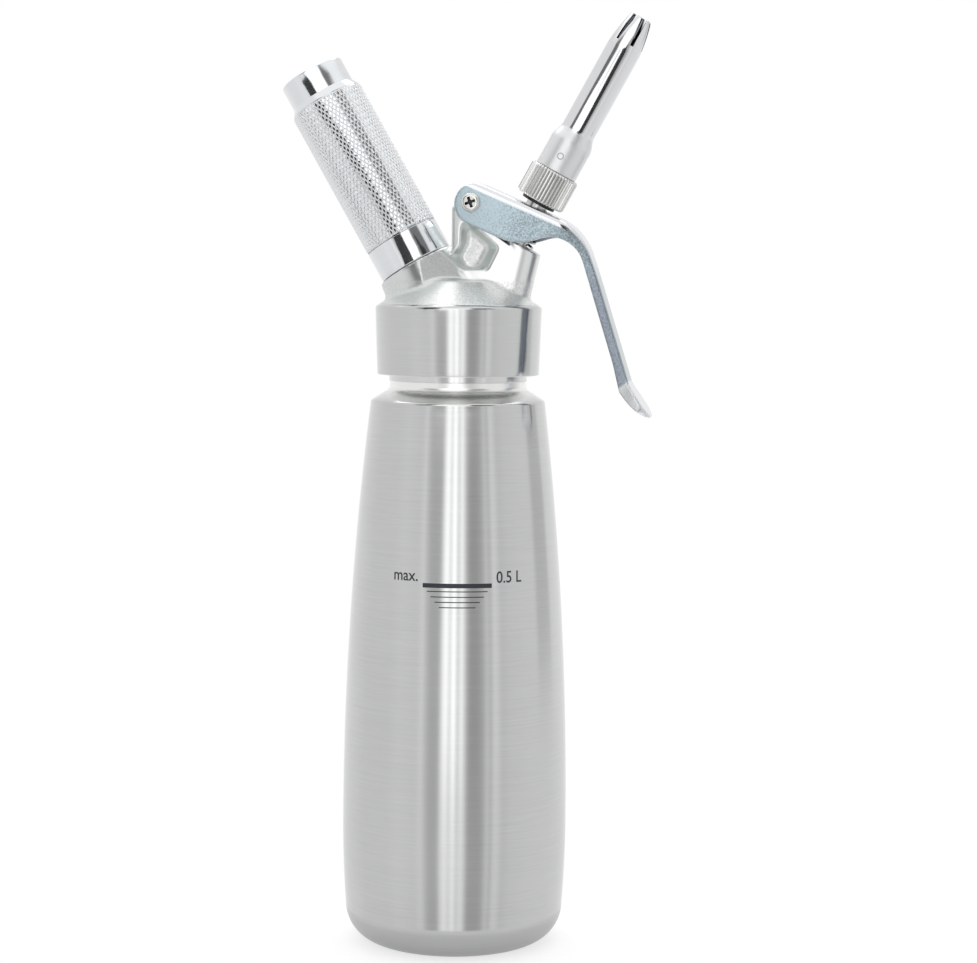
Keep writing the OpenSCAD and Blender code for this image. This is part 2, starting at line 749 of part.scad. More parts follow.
module lever()
{
  color("#aebcc4")
    on_pivot()
      difference()
      {
        intersection()
        {
          slab(lever_side, 2 * cheek_half);
          lever_plan(0);
        }
        intersection()
        {
          slab(concat(lever_top_inner, [[handle_end[0] - handle_out[0] * sheet, below_n], [before_u, below_n]]),
               2 * cheek_half);
          lever_plan(sheet);
        }
        // Slot for the valve stem
        translate([slot_u, 0, plate_h - 2 * sheet])
        {
          translate([-slot_half_l + slot_half_w, -slot_half_w, 0])
            cube([2 * (slot_half_l - slot_half_w), 2 * slot_half_w, 3 * sheet]);
          for (side = [-1, 1])
            translate([side * (slot_half_l - slot_half_w), 0, 0])
              cylinder(h = 3 * sheet, r = slot_half_w);
        }
        rotate([90, 0, 0])
          cylinder(h = 4 * cheek_half, r = bush_r + bush_clear, center = true);
      }
}

bush_half = cheek_half + head_gap;

module pivot_bush()
{
  color("#b8b8b4")
    translate([pivot_x, 0, pivot_z])
      rotate([90, 0, 0])
        difference()
        {
          cylinder(h = 2 * bush_half, r = bush_r, center = true);
          cylinder(h = 2 * bush_half + 2 * cut, r = screw_r + fit, center = true);
        }
}

module lever_screw()
{
  shank_l = 2 * bush_half + nut_h;
  head_round = 1.2;
  recess_w = 0.9;
  recess_l = 3.6;
  recess_depth = 1.3;
  recess_turn = 20;
  color("#d2d2ce")
    translate([pivot_x, -bush_half, pivot_z])
      rotate([90, 0, 0])
        difference()
        {
          union()
          {
            rotate_extrude()
              polygon(concat([[0, 0], [screw_head_r, 0]],
                             arc([screw_head_r - head_round, screw_head_h - head_round], head_round, 0, 70, 6),
                             [[0, screw_head_h]]));
            translate([0, 0, -shank_l])
              cylinder(h = shank_l, r = screw_r);
          }
          for (turn = [0, 90])
            rotate([0, 0, turn + recess_turn])
              translate([-recess_l / 2, -recess_w / 2, screw_head_h - recess_depth])
                cube([recess_l, recess_w, 2 * recess_depth]);
        }
}

module lever_nut()
{
  color("#d2d2ce")
    translate([pivot_x, bush_half, pivot_z])
      rotate([-90, 0, 0])
        difference()
        {
          cylinder(h = nut_h, r = nut_w / sqrt(3), $fn = 6);
          translate([0, 0, -cut])
            cylinder(h = nut_h + 2 * cut, r = screw_r + fit);
        }
}

// Radius of the middle of an o-ring's section
ring_r = stem_r + stem_clear - o_ring_t - fit / 2;

module valve_stem()
{
  waist_s = disc_s + disc_t;
  guide_s = waist_s + waist_l;
  groove_r = ring_r - o_ring_t - fit / 2;
  groove_half = o_ring_t + 2 * fit;
  floor_s = waist_s + bevel;
  cross_s = waist_s + seal_t + waist_l / 3;
  color("#bfc0be")
    on_valve_axis()
      difference()
      {
        rotate_extrude()
          polygon([[0, disc_s], [disc_r - bevel, disc_s], [disc_r, disc_s + bevel], [disc_r, waist_s],
                   [waist_r, waist_s], [waist_r, guide_s], [stem_r, guide_s + 2 * bevel],
                   [stem_r, o_ring_s1 - groove_half], [groove_r, o_ring_s1 - groove_half],
                   [groove_r, o_ring_s1 + groove_half], [stem_r, o_ring_s1 + groove_half],
                   [stem_r, o_ring_s2 - groove_half], [groove_r, o_ring_s2 - groove_half],
                   [groove_r, o_ring_s2 + groove_half], [stem_r, o_ring_s2 + groove_half],
                   [stem_r, collar_s], [stem_r - clip_groove, collar_s],
                   [stem_r - clip_groove, collar_s + clip_t], [stem_r, collar_s + clip_t],
                   [stem_r, adapter_s - washer_t], [stem_thread_r, adapter_s - washer_t],
                   [stem_thread_r, stem_top_s - bevel], [stem_thread_r - bevel, stem_top_s],
                   [0, stem_top_s]]);
        translate([0, 0, floor_s])
          cylinder(h = stem_top_s, r = stem_bore_r);
        for (turn = [0, 90])
          translate([0, 0, cross_s])
            rotate([90, 0, turn])
              cylinder(h = 4 * stem_r, r = cross_r, center = true);
      }
}

module stem_collar()
{
  low_s = collar_s - collar_t;
  inner_r = stem_r + fit;
  color("#c3c4c2")
    on_valve_axis()
      rotate_extrude()
        polygon([[inner_r, low_s - hub_l], [hub_r, low_s - hub_l], [hub_r, low_s], [collar_r, low_s],
                 [collar_r, collar_s - bevel], [collar_r - bevel, collar_s], [inner_r, collar_s]]);
}

module retaining_ring()
{
  mouth_w = 2;
  color("#8f9294")
    on_valve_axis(collar_s)
      difference()
      {
        cylinder(h = clip_t - fit, r = clip_r);
        translate([0, 0, -cut])
          cylinder(h = clip_t + 2 * cut, r = stem_r - clip_groove + fit);
        translate([0, -mouth_w / 2, -cut])
          cube([2 * clip_r, mouth_w, clip_t + 2 * cut]);
      }
}

// A round wire wound on a helix: rings of points joined into one closed tube
spring_sides = 6;
spring_rings = 24;
spring_rise = spring_high_s - spring_low_s - wire_d;

function coil_at(t) = [coil_r * cos(360 * coil_turns * t), coil_r * sin(360 * coil_turns * t), spring_rise * t];
function coil_ring(t) =
  let (
    angle = 360 * coil_turns * t,
    radial = [cos(angle), sin(angle), 0],
    wound = 2 * PI * coil_r * coil_turns,
    ahead = unit([-sin(angle) * wound, cos(angle) * wound, spring_rise]),
    side = cross(ahead, radial)
  )
  [for (k = [0:spring_sides - 1]) let (a = 360 * k / spring_sides)
   coil_at(t) + (radial * cos(a) + side * sin(a)) * wire_d / 2];

module valve_spring()
{
  rings = round(spring_rings * coil_turns);
  points = [for (i = [0:rings]) each coil_ring(i / rings)];
  last = rings * spring_sides;
  start_cap = [for (k = [1:spring_sides - 2]) [0, k, k + 1]];
  end_cap = [for (k = [1:spring_sides - 2]) [last, last + k + 1, last + k]];
  sides = [for (i = [0:rings - 1]) for (k = [0:spring_sides - 1])
           let (a = i * spring_sides + k, b = i * spring_sides + (k + 1) % spring_sides)
           each [[a, a + spring_sides, b], [b, a + spring_sides, b + spring_sides]]];
  color("#9a9da0")
    on_valve_axis(spring_low_s + wire_d / 2)
      polyhedron(points = points, faces = concat(start_cap, end_cap, sides));
}

// The least gap between one turn of the spring and the next, measured on its points
spring_gap = min([for (i = [0:30]) for (j = [0:30]) let (a = i / 100, b = a + (0.5 + j / 30) / coil_turns)
                  norm(coil_at(a) - coil_at(b))]) - wire_d;
echo(least_gap_between_turns = spring_gap);

module stem_o_rings()
{
  color("#242424")
    for (s = [o_ring_s1, o_ring_s2])
      on_valve_axis(s)
        rotate_extrude()
          translate([ring_r, 0])
            circle(r = o_ring_t, $fn = 24);
}

module valve_seal()
{
  color("#2c2c2c")
    on_valve_axis(seal_s)
      difference()
      {
        cylinder(h = seal_t, r = disc_r);
        translate([0, 0, -cut])
          cylinder(h = seal_t + 2 * cut, r = waist_r + fit);
      }
}

module adapter_seal()
{
  color("#1e1e1e")
    on_valve_axis(adapter_s - washer_t)
      difference()
      {
        cylinder(h = washer_t, r = washer_r);
        translate([0, 0, -cut])
          cylinder(h = washer_t + 2 * cut, r = stem_thread_r + fit);
      }
}

module nozzle_adapter()
{
  step = 360 / flutes;
  land = 0.4;
  groove_from = 0.6;
  groove_to = 0.8;
  low_r = adapter_r - flute_depth;
  outline = [for (i = [0:flutes - 1])
             each [on_circle([0, 0], adapter_r, i * step), on_circle([0, 0], adapter_r, (i + land) * step),
                   on_circle([0, 0], low_r, (i + groove_from) * step),
                   on_circle([0, 0], low_r, (i + groove_to) * step)]];
  color("#c9c6be")
    on_valve_axis(adapter_s)
      difference()
      {
        intersection()
        {
          linear_extrude(height = adapter_l)
            polygon(outline);
          rotate_extrude()
            polygon([[0, 0], [adapter_r - adapter_chamfer, 0], [adapter_r, adapter_chamfer],
                     [adapter_r, adapter_l - adapter_chamfer], [adapter_r - adapter_chamfer, adapter_l],
                     [0, adapter_l]]);
        }
        translate([0, 0, -cut])
          cylinder(h = adapter_l, r = stem_thread_r + 2 * fit);
        translate([0, 0, stem_grip + fit])
          cylinder(h = adapter_l, r = tip_foot_r + 2 * fit);
      }
}

// How much of the nose's narrowing is bowed
nose_bow = 0.55;

// The tip's outline above its foot, drawn inwards by a distance
function tip_line(inset) =
  let (
    neck_s = tip_s + bulb_l,
    tube_s = neck_s + bulb_neck_l,
    nose_s = tube_s + tube_l,
    bulb_neck = [for (i = [0:8]) let (t = i / 8)
                 [bulb_r - inset - (bulb_r - tube_r) * smooth_step(t), neck_s + bulb_neck_l * t]],
    nose = [for (i = [0:8]) let (t = i / 8)
            [tube_r - inset - (tube_r - nose_r) * t * (1 - nose_bow + nose_bow * t), nose_s + nose_l * t]]
  )
  concat(bulb_neck, nose);

module decorating_tip()
{
  foot_in_r = tip_foot_r - tip_wall;
  low_s = tip_s + fit;
  end_s = tip_s + bulb_l + bulb_neck_l + tube_l + nose_l;
  slot_turn = 12;
  color("#cdd0d2")
    on_valve_axis()
      difference()
      {
        rotate_extrude()
          polygon(concat([[foot_in_r, tip_foot_s], [tip_foot_r, tip_foot_s], [tip_foot_r, low_s],
                          [bulb_r - bevel, low_s], [bulb_r, low_s + bevel]],
                         tip_line(0), reversed(tip_line(tip_wall)),
                         [[bulb_r - tip_wall, tip_s + 2 * tip_wall], [foot_in_r, tip_s + tip_wall]]));
        for (turn = [0:2])
          rotate([0, 0, 60 * turn + slot_turn])
            translate([-bulb_r, -slot_w / 2, end_s - slot_l])
              cube([2 * bulb_r, slot_w, slot_l + cut]);
      }
}

bottle();
threaded_neck();
head_gasket();
head_casting();
inlet_stud();
piercing_pin();
pin_seal();
check_valve();
charger_holder();
gas_charger();
lever();
pivot_bush();
lever_screw();
lever_nut();
valve_stem();
stem_collar();
retaining_ring();
valve_spring();
stem_o_rings();
valve_seal();
adapter_seal();
nozzle_adapter();
decorating_tip();
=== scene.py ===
"""Dresses a whipped cream dispenser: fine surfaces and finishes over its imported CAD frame.

Lengths in this file are millimetres unless a name says otherwise, and meshes are written in
metres. +Z is up the bottle's axis, the nozzle leans to +X and the camera looks along +Y.
"""

import math

import bmesh
import bpy
import numpy as np
from bpy.props import (
    FloatProperty,
    FloatVectorProperty,
    IntProperty,
    PointerProperty,
    StringProperty,
)
from mathutils import Matrix, Vector


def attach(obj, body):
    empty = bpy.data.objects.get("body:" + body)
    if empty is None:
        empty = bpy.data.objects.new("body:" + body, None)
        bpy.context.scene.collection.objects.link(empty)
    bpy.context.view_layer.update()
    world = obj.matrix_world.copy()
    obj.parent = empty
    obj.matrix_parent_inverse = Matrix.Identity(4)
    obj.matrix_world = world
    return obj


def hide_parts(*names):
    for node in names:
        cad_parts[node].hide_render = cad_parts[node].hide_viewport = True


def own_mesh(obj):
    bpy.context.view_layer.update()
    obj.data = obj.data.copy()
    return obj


bl_info = {
    "name": "Whipped Cream Dispenser",
    "version": (1, 0, 0),
    "blender": (4, 5, 0),
    "location": "3D View > Sidebar > Dispenser",
    "description": "Builds the surfaces, finishes and studio of a whipped cream dispenser",
    "category": "Object",
}

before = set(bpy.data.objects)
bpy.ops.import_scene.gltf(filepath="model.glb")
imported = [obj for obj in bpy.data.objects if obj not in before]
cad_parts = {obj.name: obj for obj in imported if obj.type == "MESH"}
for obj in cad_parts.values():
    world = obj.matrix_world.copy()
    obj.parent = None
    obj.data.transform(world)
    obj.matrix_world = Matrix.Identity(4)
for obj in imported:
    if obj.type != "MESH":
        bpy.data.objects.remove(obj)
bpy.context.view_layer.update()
MM = 0.001

# Heights and radii of the bottle, as in the CAD
WIDE_Z, BOTTLE_R, FOOT_R, FOOT_ROUND = 42.0, 38.8, 37.7, 13.0
SHOULDER_Z, SHOULDER_R, SHOULDER_ROUND, SHOULDER_SLOPE = 188.8, 29.9, 1.2, 32.0
NECK_Z, NECK_R, NECK_FILLET, WALL = 195.0, 23.4, 2.0, 1.2
MOUTH_Z, MOUTH_R, THREAD_R, LIP_R = 216.0, 19.8, 24.2, 23.7
SKIRT_Z, SKIRT_R, SKIRT_TOP_R, SKIRT_EDGE_Z, SKIRT_ROUND = 197.2, 27.8, 28.6, 219.8, 1.3
SEAT_Z, CONE_TOP_R, CONE_TOP_Z, HEAD_BORE_R = 218.2, 14.5, 229.5, 24.5
WEB_HALF = 7.2

# The two leaning axes: height where each crosses the bottle's axis, and lean towards +X
VALVE = VALVE_Z, VALVE_LEAN = 206.8, math.radians(29)
INLET = 209.2, math.radians(-30)

# Distances along the valve's axis
BOSS_S, COLLAR_S, ADAPTER_S, STEM_TOP_S, TIP_S = 41.2, 52.506, 57.213, 63.013, 68.613
# Distances along the inlet's axis
INLET_S, STUD_TOP_S, HOLDER_S, HOLDER_TOP_S = 29.4, 39.3, 29.7, 105.0
CHARGER_S, CHARGER_END_S = 33.2, 98.6

# The lever's plane: its pivot, its slope, and its measures along (u) and square to (n) its plate
PIVOT = (5.7, 256.0)
PLATE_SLOPE = math.radians(23.3)
PLATE_H, SHEET, CORNER_U = 7.15, 1.5, 38.1
HANDLE_TURN, PADDLE_TURN = math.radians(49.3), math.radians(16)

# The camera: where it stands in metres, how it is turned in degrees, and its focal length in pixels
CAMERA_AT = (0.1671, -0.8599, 0.2288)
CAMERA_AZIMUTH, CAMERA_PITCH, CAMERA_YAW, CAMERA_ROLL = 11.0, 4.47, 0.7105, 0.54
FOCAL_PX, PHOTO_W = 2540.0, 977.0


# ---------------------------------------------------------------- shapes


def arc(centre, radius, start, end, steps):
    """Points on a circle from one angle to another, in degrees."""
    angle = np.radians(np.linspace(start, end, steps + 1))
    return np.stack([centre[0] + radius * np.cos(angle), centre[1] + radius * np.sin(angle)], -1)


def smooth_step(t):
    """3 t^2 - 2 t^3 between 0 and 1, and flat outside."""
    t = np.clip(t, 0, 1)
    return t * t * (3 - 2 * t)


def rounded(corners, steps=5, closed=True):
    """An outline whose corners, given as (x, y, radius), become arcs.

    With h half the angle at a corner, its arc's centre lies r / sin(h) from the corner on the
    line that halves the angle, and the arc touches both sides r / tan(h) from the corner.
    """
    corners = np.array(corners, float)
    p, r = corners[:, :2], corners[:, 2]
    back, ahead = np.roll(p, 1, 0), np.roll(p, -1, 0)
    if not closed:
        r = r.copy()
        r[[0, -1]] = 0
        back[0], ahead[-1] = p[0] * 2 - p[1], p[-1] * 2 - p[-2]
    u = (back - p) / np.linalg.norm(back - p, axis=1, keepdims=True)
    v = (ahead - p) / np.linalg.norm(ahead - p, axis=1, keepdims=True)
    half = np.arccos(np.clip((u * v).sum(1), -1, 1)) / 2
    middle = u + v
    middle /= np.maximum(np.linalg.norm(middle, axis=1, keepdims=True), 1e-9)
    centre = p + middle * (r / np.maximum(np.sin(half), 1e-9))[:, None]
    reach = (r / np.maximum(np.tan(half), 1e-9))[:, None]
    a, b = p + u * reach - centre, p + v * reach - centre
    turn = (math.pi - 2 * half)[:, None, None]
    t = np.linspace(0, 1, steps + 1)[None, :, None]
    scale = np.maximum(np.sin(turn), 1e-9)
    swung = (np.sin((1 - t) * turn) * a[:, None] + np.sin(t * turn) * b[:, None]) / scale
    swung = np.where(turn < 1e-4, (1 - t) * a[:, None] + t * b[:, None], swung)
    points = (centre[:, None] + swung).reshape(-1, 2)
    keep = np.linalg.norm(points - np.roll(points, 1, 0), axis=1) > 1e-5
    keep[0] = keep[0] or not closed
    return points[keep]


def spread(profile, longest):
    """A profile with points added where a side is longer than a length."""
    profile = np.asarray(profile, float)
    gap = np.linalg.norm(np.diff(profile, axis=0), axis=1)
    at = np.concatenate([[0], np.cumsum(gap)])
    steps = [max(1, int(math.ceil(g / longest))) + 1 for g in gap]
    parts = [np.linspace(a, b, n)[:-1] for a, b, n in zip(at[:-1], at[1:], steps)]
    fine = np.concatenate(parts + [at[-1:]])
    return np.stack([np.interp(fine, at, column) for column in profile.T], -1)


def leaning(points, height, lean):
    """Points given round an upright axis, turned about Y so that the axis leans, and raised."""
    x, y, z = np.moveaxis(np.asarray(points, float), -1, 0)
    cosine, sine = math.cos(lean), math.sin(lean)
    return np.stack([x * cosine + z * sine, y, height + z * cosine - x * sine], -1)


def axis_place(x, z, height, lean):
    """Distances along a leaning axis and across it, of places in the XZ plane."""
    cosine, sine = math.cos(lean), math.sin(lean)
    return x * sine + (z - height) * cosine, x * cosine - (z - height) * sine


def grid_faces(rows, columns, wrap_rows=False, wrap_columns=False):
    """Four-sided faces of a grid of points, joined at its ends where it wraps."""
    i = np.arange(rows if wrap_rows else rows - 1)[:, None]
    j = np.arange(columns if wrap_columns else columns - 1)[None, :]
    here, ahead, j2 = i * columns, (i + 1) % rows * columns, (j + 1) % columns
    corners = np.broadcast_arrays(here + j, here + j2, ahead + j2, ahead + j)
    return np.stack(corners, -1).reshape(-1, 4)


def lathe(profile, turns=128, closed=False, shape=None):
    """A profile of (radius, height) carried round an upright axis: x = r cos a, y = r sin a.

    shape(angle, height, radius) may give another radius at each point.
    """
    profile = np.asarray(profile, float)
    angle = np.linspace(0, 2 * math.pi, turns, endpoint=False)[None, :]
    r, s = profile[:, 0:1] + 0 * angle, profile[:, 1:2] + 0 * angle
    if shape is not None:
        r = shape(angle, s, r)
    points = np.stack([r * np.cos(angle), r * np.sin(angle), s], -1).reshape(-1, 3)
    return points, grid_faces(len(profile), turns, closed, True)


def tube(path, radius, sides=12):
    """A round wire along a path: each ring lies in the plane square to the path there."""
    ahead = np.gradient(path, axis=0)
    ahead /= np.linalg.norm(ahead, axis=1, keepdims=True)
    out = path * [1, 1, 0]
    out -= ahead * (out * ahead).sum(1, keepdims=True)
    out /= np.linalg.norm(out, axis=1, keepdims=True)
    side = np.cross(ahead, out)
    angle = np.linspace(0, 2 * math.pi, sides, endpoint=False)
    around = out[:, None] * np.cos(angle)[:, None] + side[:, None] * np.sin(angle)[:, None]
    ring = path[:, None] + radius * around
    ends = np.stack([path[0], path[-1]])
    points = np.concatenate([ring.reshape(-1, 3), ends])
    k = np.arange(sides)
    last = (len(path) - 1) * sides
    first_cap = np.stack([k, (k + 1) % sides, 0 * k + len(points) - 2], -1)
    last_cap = np.stack([last + k, last + (k + 1) % sides, 0 * k + len(points) - 1], -1)
    return points, [grid_faces(len(path), sides, False, True), first_cap, last_cap]


# ---------------------------------------------------------------- distance fields


def outline_distance(x, y, outline):
    """Distance to a closed outline, below 0 inside it: the least distance to any of its sides,
    with the sign from how many sides a line to the right crosses."""
    x, y = np.broadcast_arrays(x, y)
    x, y = x[..., None], y[..., None]
    ax, ay = np.asarray(outline, float).T
    bx, by = np.roll(ax, -1), np.roll(ay, -1)
    ex, ey = bx - ax, by - ay
    t = np.clip(((x - ax) * ex + (y - ay) * ey) / (ex * ex + ey * ey), 0, 1)
    distance = np.sqrt(((x - ax - t * ex) ** 2 + (y - ay - t * ey) ** 2).min(-1))
    slope = ex / np.where(ey == 0, 1e-12, ey)
    crossed = ((ay > y) != (by > y)) & (x < ax + (y - ay) * slope)
    return np.where(crossed.sum(-1) % 2 == 1, -distance, distance)


def joined(a, b, r):
    """The union of two fields with a fillet: r less the length of (r - a, r - b), where both are
    under r."""
    return np.maximum(np.minimum(a, b), r) - np.hypot(np.maximum(r - a, 0), np.maximum(r - b, 0))


def common(a, b, r):
    """The part common to two fields, with an edge of radius r."""
    return np.minimum(np.maximum(a, b), -r) + np.hypot(np.maximum(r + a, 0), np.maximum(r + b, 0))


def field_slope(field, points, reach=0.02):
    """Value and gradient of a field, from a small step along each axis."""
    x, y, z = points.T
    value = field(x, y, z)
    stepped = [field(x + reach, y, z), field(x, y + reach, z), field(x, y, z + reach)]
    return value, (np.stack(stepped, -1) - value[:, None]) / reach


def evened(points, faces, share=0.6):
    """Each point moved by a share of the way to the middle of the points its faces join it to."""
    total, near = np.zeros_like(points), np.zeros(len(points))
    for corner in range(4):
        here, there = faces[:, corner], faces[:, (corner + 1) % 4]
        for a, b in ((here, there), (there, here)):
            near += np.bincount(a, minlength=len(points))
            for axis in range(3):
                total[:, axis] += np.bincount(a, weights=points[b, axis], minlength=len(points))
    return points + share * (total / near[:, None] - points)


def level_surface(field, low, high, step, rounds=3):
    """The surface on which a field is 0, from a grid of its values.

    Every cell whose corners differ in sign holds one point, and every grid edge whose ends
    differ joins the four cells round it. The points are evened out among their neighbours and
    moved down the field's slope onto the surface, by turns.
    """
    axes = [np.arange(a, b + step, step) for a, b in zip(low, high)]
    x, y, z = np.meshgrid(*axes, indexing="ij", sparse=True)
    inside = np.broadcast_to(field(x, y, z) < 0, [len(a) for a in axes])
    wide, deep, tall = (len(a) - 1 for a in axes)
    count = sum(inside[i:wide + i, j:deep + j, k:tall + k].astype(np.int8)
                for i in (0, 1) for j in (0, 1) for k in (0, 1))
    mixed = (count > 0) & (count < 8)
    index = np.full(mixed.shape, -1)
    index[mixed] = np.arange(mixed.sum())
    points = np.argwhere(mixed) * step + [a[0] + step / 2 for a in axes]
    faces = []
    for axis in range(3):
        order = [axis] + [other for other in range(3) if other != axis]
        solid, cell = inside.transpose(order), index.transpose(order)
        a, b = solid[:-1, 1:-1, 1:-1], solid[1:, 1:-1, 1:-1]
        i, j, k = np.nonzero(a != b)
        cells = [cell[i, j + across, k + up] for across, up in ((0, 0), (1, 0), (1, 1), (0, 1))]
        quad = np.stack(cells, -1)
        flip = a[i, j, k] ^ (axis == 1)
        faces.append(np.where(flip[:, None], quad, quad[:, ::-1]))
    faces = np.concatenate(faces)
    flattest = 0.2
    for turn in range(rounds + 2):
        if 0 < turn <= rounds:
            points = evened(points, faces)
        value, slope = field_slope(field, points)
        moved = slope * (value / np.maximum((slope ** 2).sum(1), flattest))[:, None]
        points = points - np.clip(moved, -step, step)
    return points, faces


# ---------------------------------------------------------------- meshes


# Points that lie closer than this, in metres, are one
DOUBLED = 1e-6


def make_piece(name, parts, materials, body, replaces=(), sharp=35.0, attributes=None):
    """A mesh object from parts of (points, faces, material index), riding on a CAD body.

    Doubled points are merged, so seams and poles close, and faces turn outwards.
    """
    offset, points, loops, totals, slots = 0, [], [], [], []
    for vertices, faces, index in parts:
        for group in faces if isinstance(faces, list) else [faces]:
            loops.append((group + offset).reshape(-1))
            totals.append(np.full(len(group), group.shape[1]))
            slots.append(np.full(len(group), index))
        points.append(vertices)
        offset += len(vertices)
    points, loops = np.concatenate(points) * MM, np.concatenate(loops)
    totals, slots = np.concatenate(totals), np.concatenate(slots)
    starts = np.cumsum(totals) - totals
    mesh = bpy.data.meshes.new(name)
    mesh.vertices.add(len(points))
    mesh.vertices.foreach_set("co", points.astype(np.float32).ravel())
    mesh.loops.add(len(loops))
    mesh.loops.foreach_set("vertex_index", loops.astype(np.int32))
    mesh.polygons.add(len(totals))
    for key, values in (("loop_start", starts), ("loop_total", totals), ("material_index", slots)):
        mesh.polygons.foreach_set(key, values.astype(np.int32))
    mesh.update(calc_edges=True)
    for key, values in (attributes or {}).items():
        layer = mesh.attributes.new(key, "FLOAT", "POINT")
        layer.data.foreach_set("value", np.asarray(values, np.float32))
    bm = bmesh.new()
    bm.from_mesh(mesh)
    bmesh.ops.remove_doubles(bm, verts=bm.verts, dist=DOUBLED)
    bmesh.ops.recalc_face_normals(bm, faces=bm.faces)
    bm.to_mesh(mesh)
    bm.free()
    for material in materials:
        mesh.materials.append(material)
    mesh.shade_smooth()
    mesh.set_sharp_from_angle(angle=math.radians(sharp))
    piece = bpy.data.objects.new(name, mesh)
    bpy.context.scene.collection.objects.link(piece)
    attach(piece, body)
    if replaces:
        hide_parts(*replaces)
    return piece


def turned_piece(name, profile, turns, material, body, node, axis=None, closed=True,
                 shape=None):
    """A lathed piece in place of one CAD node, upright or on a leaning axis."""
    points, faces = lathe(profile, turns, closed, shape)
    points = leaning(points, *axis) if axis else points
    return make_piece(name, [(points, faces, 0)], [material], body, [node])


# ---------------------------------------------------------------- finishes


class Value:
    """A number in a material. Arithmetic on it adds Math nodes."""

    def __init__(self, finish, socket):
        self.finish, self.socket = finish, socket

    def math(self, operation, *others, clamp=False):
        return self.finish.node("Math", [self, *others], operation=operation, use_clamp=clamp)

    def __add__(self, other):
        return self.math("ADD", other)

    def __mul__(self, other):
        return self.math("MULTIPLY", other)

    def __sub__(self, other):
        return self.math("SUBTRACT", other)

    def __rsub__(self, other):
        return self.finish.node("Math", [other, self], operation="SUBTRACT")

    def __truediv__(self, other):
        return self.math("DIVIDE", other)

    __radd__, __rmul__ = __add__, __mul__


class Finish:
    """A material in the making: its node tree, and the ways its nodes are added."""

    def __init__(self, name, color=(0.8, 0.8, 0.8), metallic=1.0, roughness=0.3, **sockets):
        self.material = bpy.data.materials.new(name)
        self.material.use_nodes = True
        self.tree = self.material.node_tree
        self.shader = self.tree.nodes["Principled BSDF"]
        self.set("Base Color", color)
        self.set("Metallic", metallic)
        self.set("Roughness", roughness)
        for key, value in sockets.items():
            self.set(key.replace("_", " "), value)

    def feed(self, socket, value):
        if isinstance(value, Value):
            self.tree.links.new(value.socket, socket)
        elif isinstance(value, (tuple, list)) and len(value) == 3 and socket.type == "RGBA":
            socket.default_value = (*value, 1)
        else:
            socket.default_value = value

    def set(self, socket, value):
        self.feed(self.shader.inputs[socket], value)

    def node(self, kind, inputs=(), output=0, ramp=None, **settings):
        """Any node: its settings first, then its inputs, given in order or by name or place."""
        node = self.tree.nodes.new("ShaderNode" + kind)
        for key, value in settings.items():
            setattr(node, key, value)
        if ramp:
            elements = node.color_ramp.elements
            for element, (place, shade) in zip(list(elements), ramp):
                element.position, element.color = place, (*shade, 1)
            for place, shade in ramp[2:]:
                elements.new(place).color = (*shade, 1)
        pairs = inputs.items() if isinstance(inputs, dict) else enumerate(inputs)
        for key, value in pairs:
            self.feed(node.inputs[key], value)
        return Value(self, node.outputs[output])

    def place(self, height=0.0, lean=0.0, scale=(1, 1, 1)):
        """Object coordinates in the frame of a leaning axis, stretched."""
        at = self.node("TexCoord", output="Object")
        if lean or height:
            shift = Matrix.Rotation(-lean, 3, "Y") @ Vector((0, 0, -height * MM))
            inputs = {"Vector": at, "Rotation": (0, -lean, 0), "Location": shift}
            at = self.node("Mapping", inputs)
        if scale == (1, 1, 1):
            return at
        return self.node("VectorMath", [at, scale], operation="MULTIPLY")

    def noise(self, at, scale, detail=2.0, roughness=0.5):
        inputs = {"Vector": at, "Scale": scale, "Detail": detail, "Roughness": roughness}
        return self.node("TexNoise", inputs)

    def between(self, value, low, high, from_low=0.0, from_high=1.0):
        """A value carried smoothly from one range to another."""
        inputs = [value, from_low, from_high, low, high]
        return self.node("MapRange", inputs, interpolation_type="SMOOTHSTEP")

    def mix(self, share, first, second):
        """One colour going over into another."""
        return self.node("Mix", {0: share, 6: first, 7: second}, output=2, data_type="RGBA")

    def bump(self, height, distance):
        self.set("Normal", self.node("Bump", {"Height": height, "Distance": distance * MM}))

    def attribute(self, name):
        return self.node("Attribute", output="Fac", attribute_name=name)

    def emission(self, strength):
        return self.node("Emission", {"Color": (1, 1, 1), "Strength": strength})

    def surface(self, shader):
        """Another shader in place of the principled one."""
        output = self.tree.nodes["Material Output"]
        self.tree.links.new(shader.socket, output.inputs["Surface"])


def scaled(color, factor, lift=0.0):
    """A colour made darker or brighter, up to white."""
    return tuple(min(1, c * factor + lift) for c in color)


def turned_metal(name, color, roughness, height=0.0, lean=0.0, lines=0.001, tone=0.02, fine=3600.0,
                 hollow=False, **sockets):
    """Metal with fine lines round an axis: noise squeezed along the axis drives tone, gloss and
    bump. Where it has the attribute "hollow", that makes it less glossy and paints it paler, a
    painted highlight."""
    finish = Finish(name, color, 1.0, roughness, **sockets)
    long_lines = finish.noise(finish.place(height, lean, (50, 50, fine)), 1.0, 3.0, 0.6)
    cloud = finish.noise(finish.place(height, lean), 45.0, 3.0)
    gloss = roughness + (cloud - 0.5) * 0.05 + (long_lines - 0.5) * 0.06
    share = finish.between(long_lines * 0.7 + cloud * 0.3, 0.0, 1.0, 0.3, 0.7)
    shade = finish.mix(share, scaled(color, 1 - tone), scaled(color, 1 + tone))
    # Painted highlight: "hollow" mixes the colour towards near white in the bottle's neck hollow and
    # on the skirt's lower face
    if hollow:
        inside = finish.attribute("hollow")
        gloss, shade = gloss + inside * 0.16, finish.mix(inside, shade, (0.96, 0.965, 0.95))
    finish.set("Roughness", gloss)
    finish.set("Base Color", shade)
    finish.bump(long_lines, lines)
    return finish.material
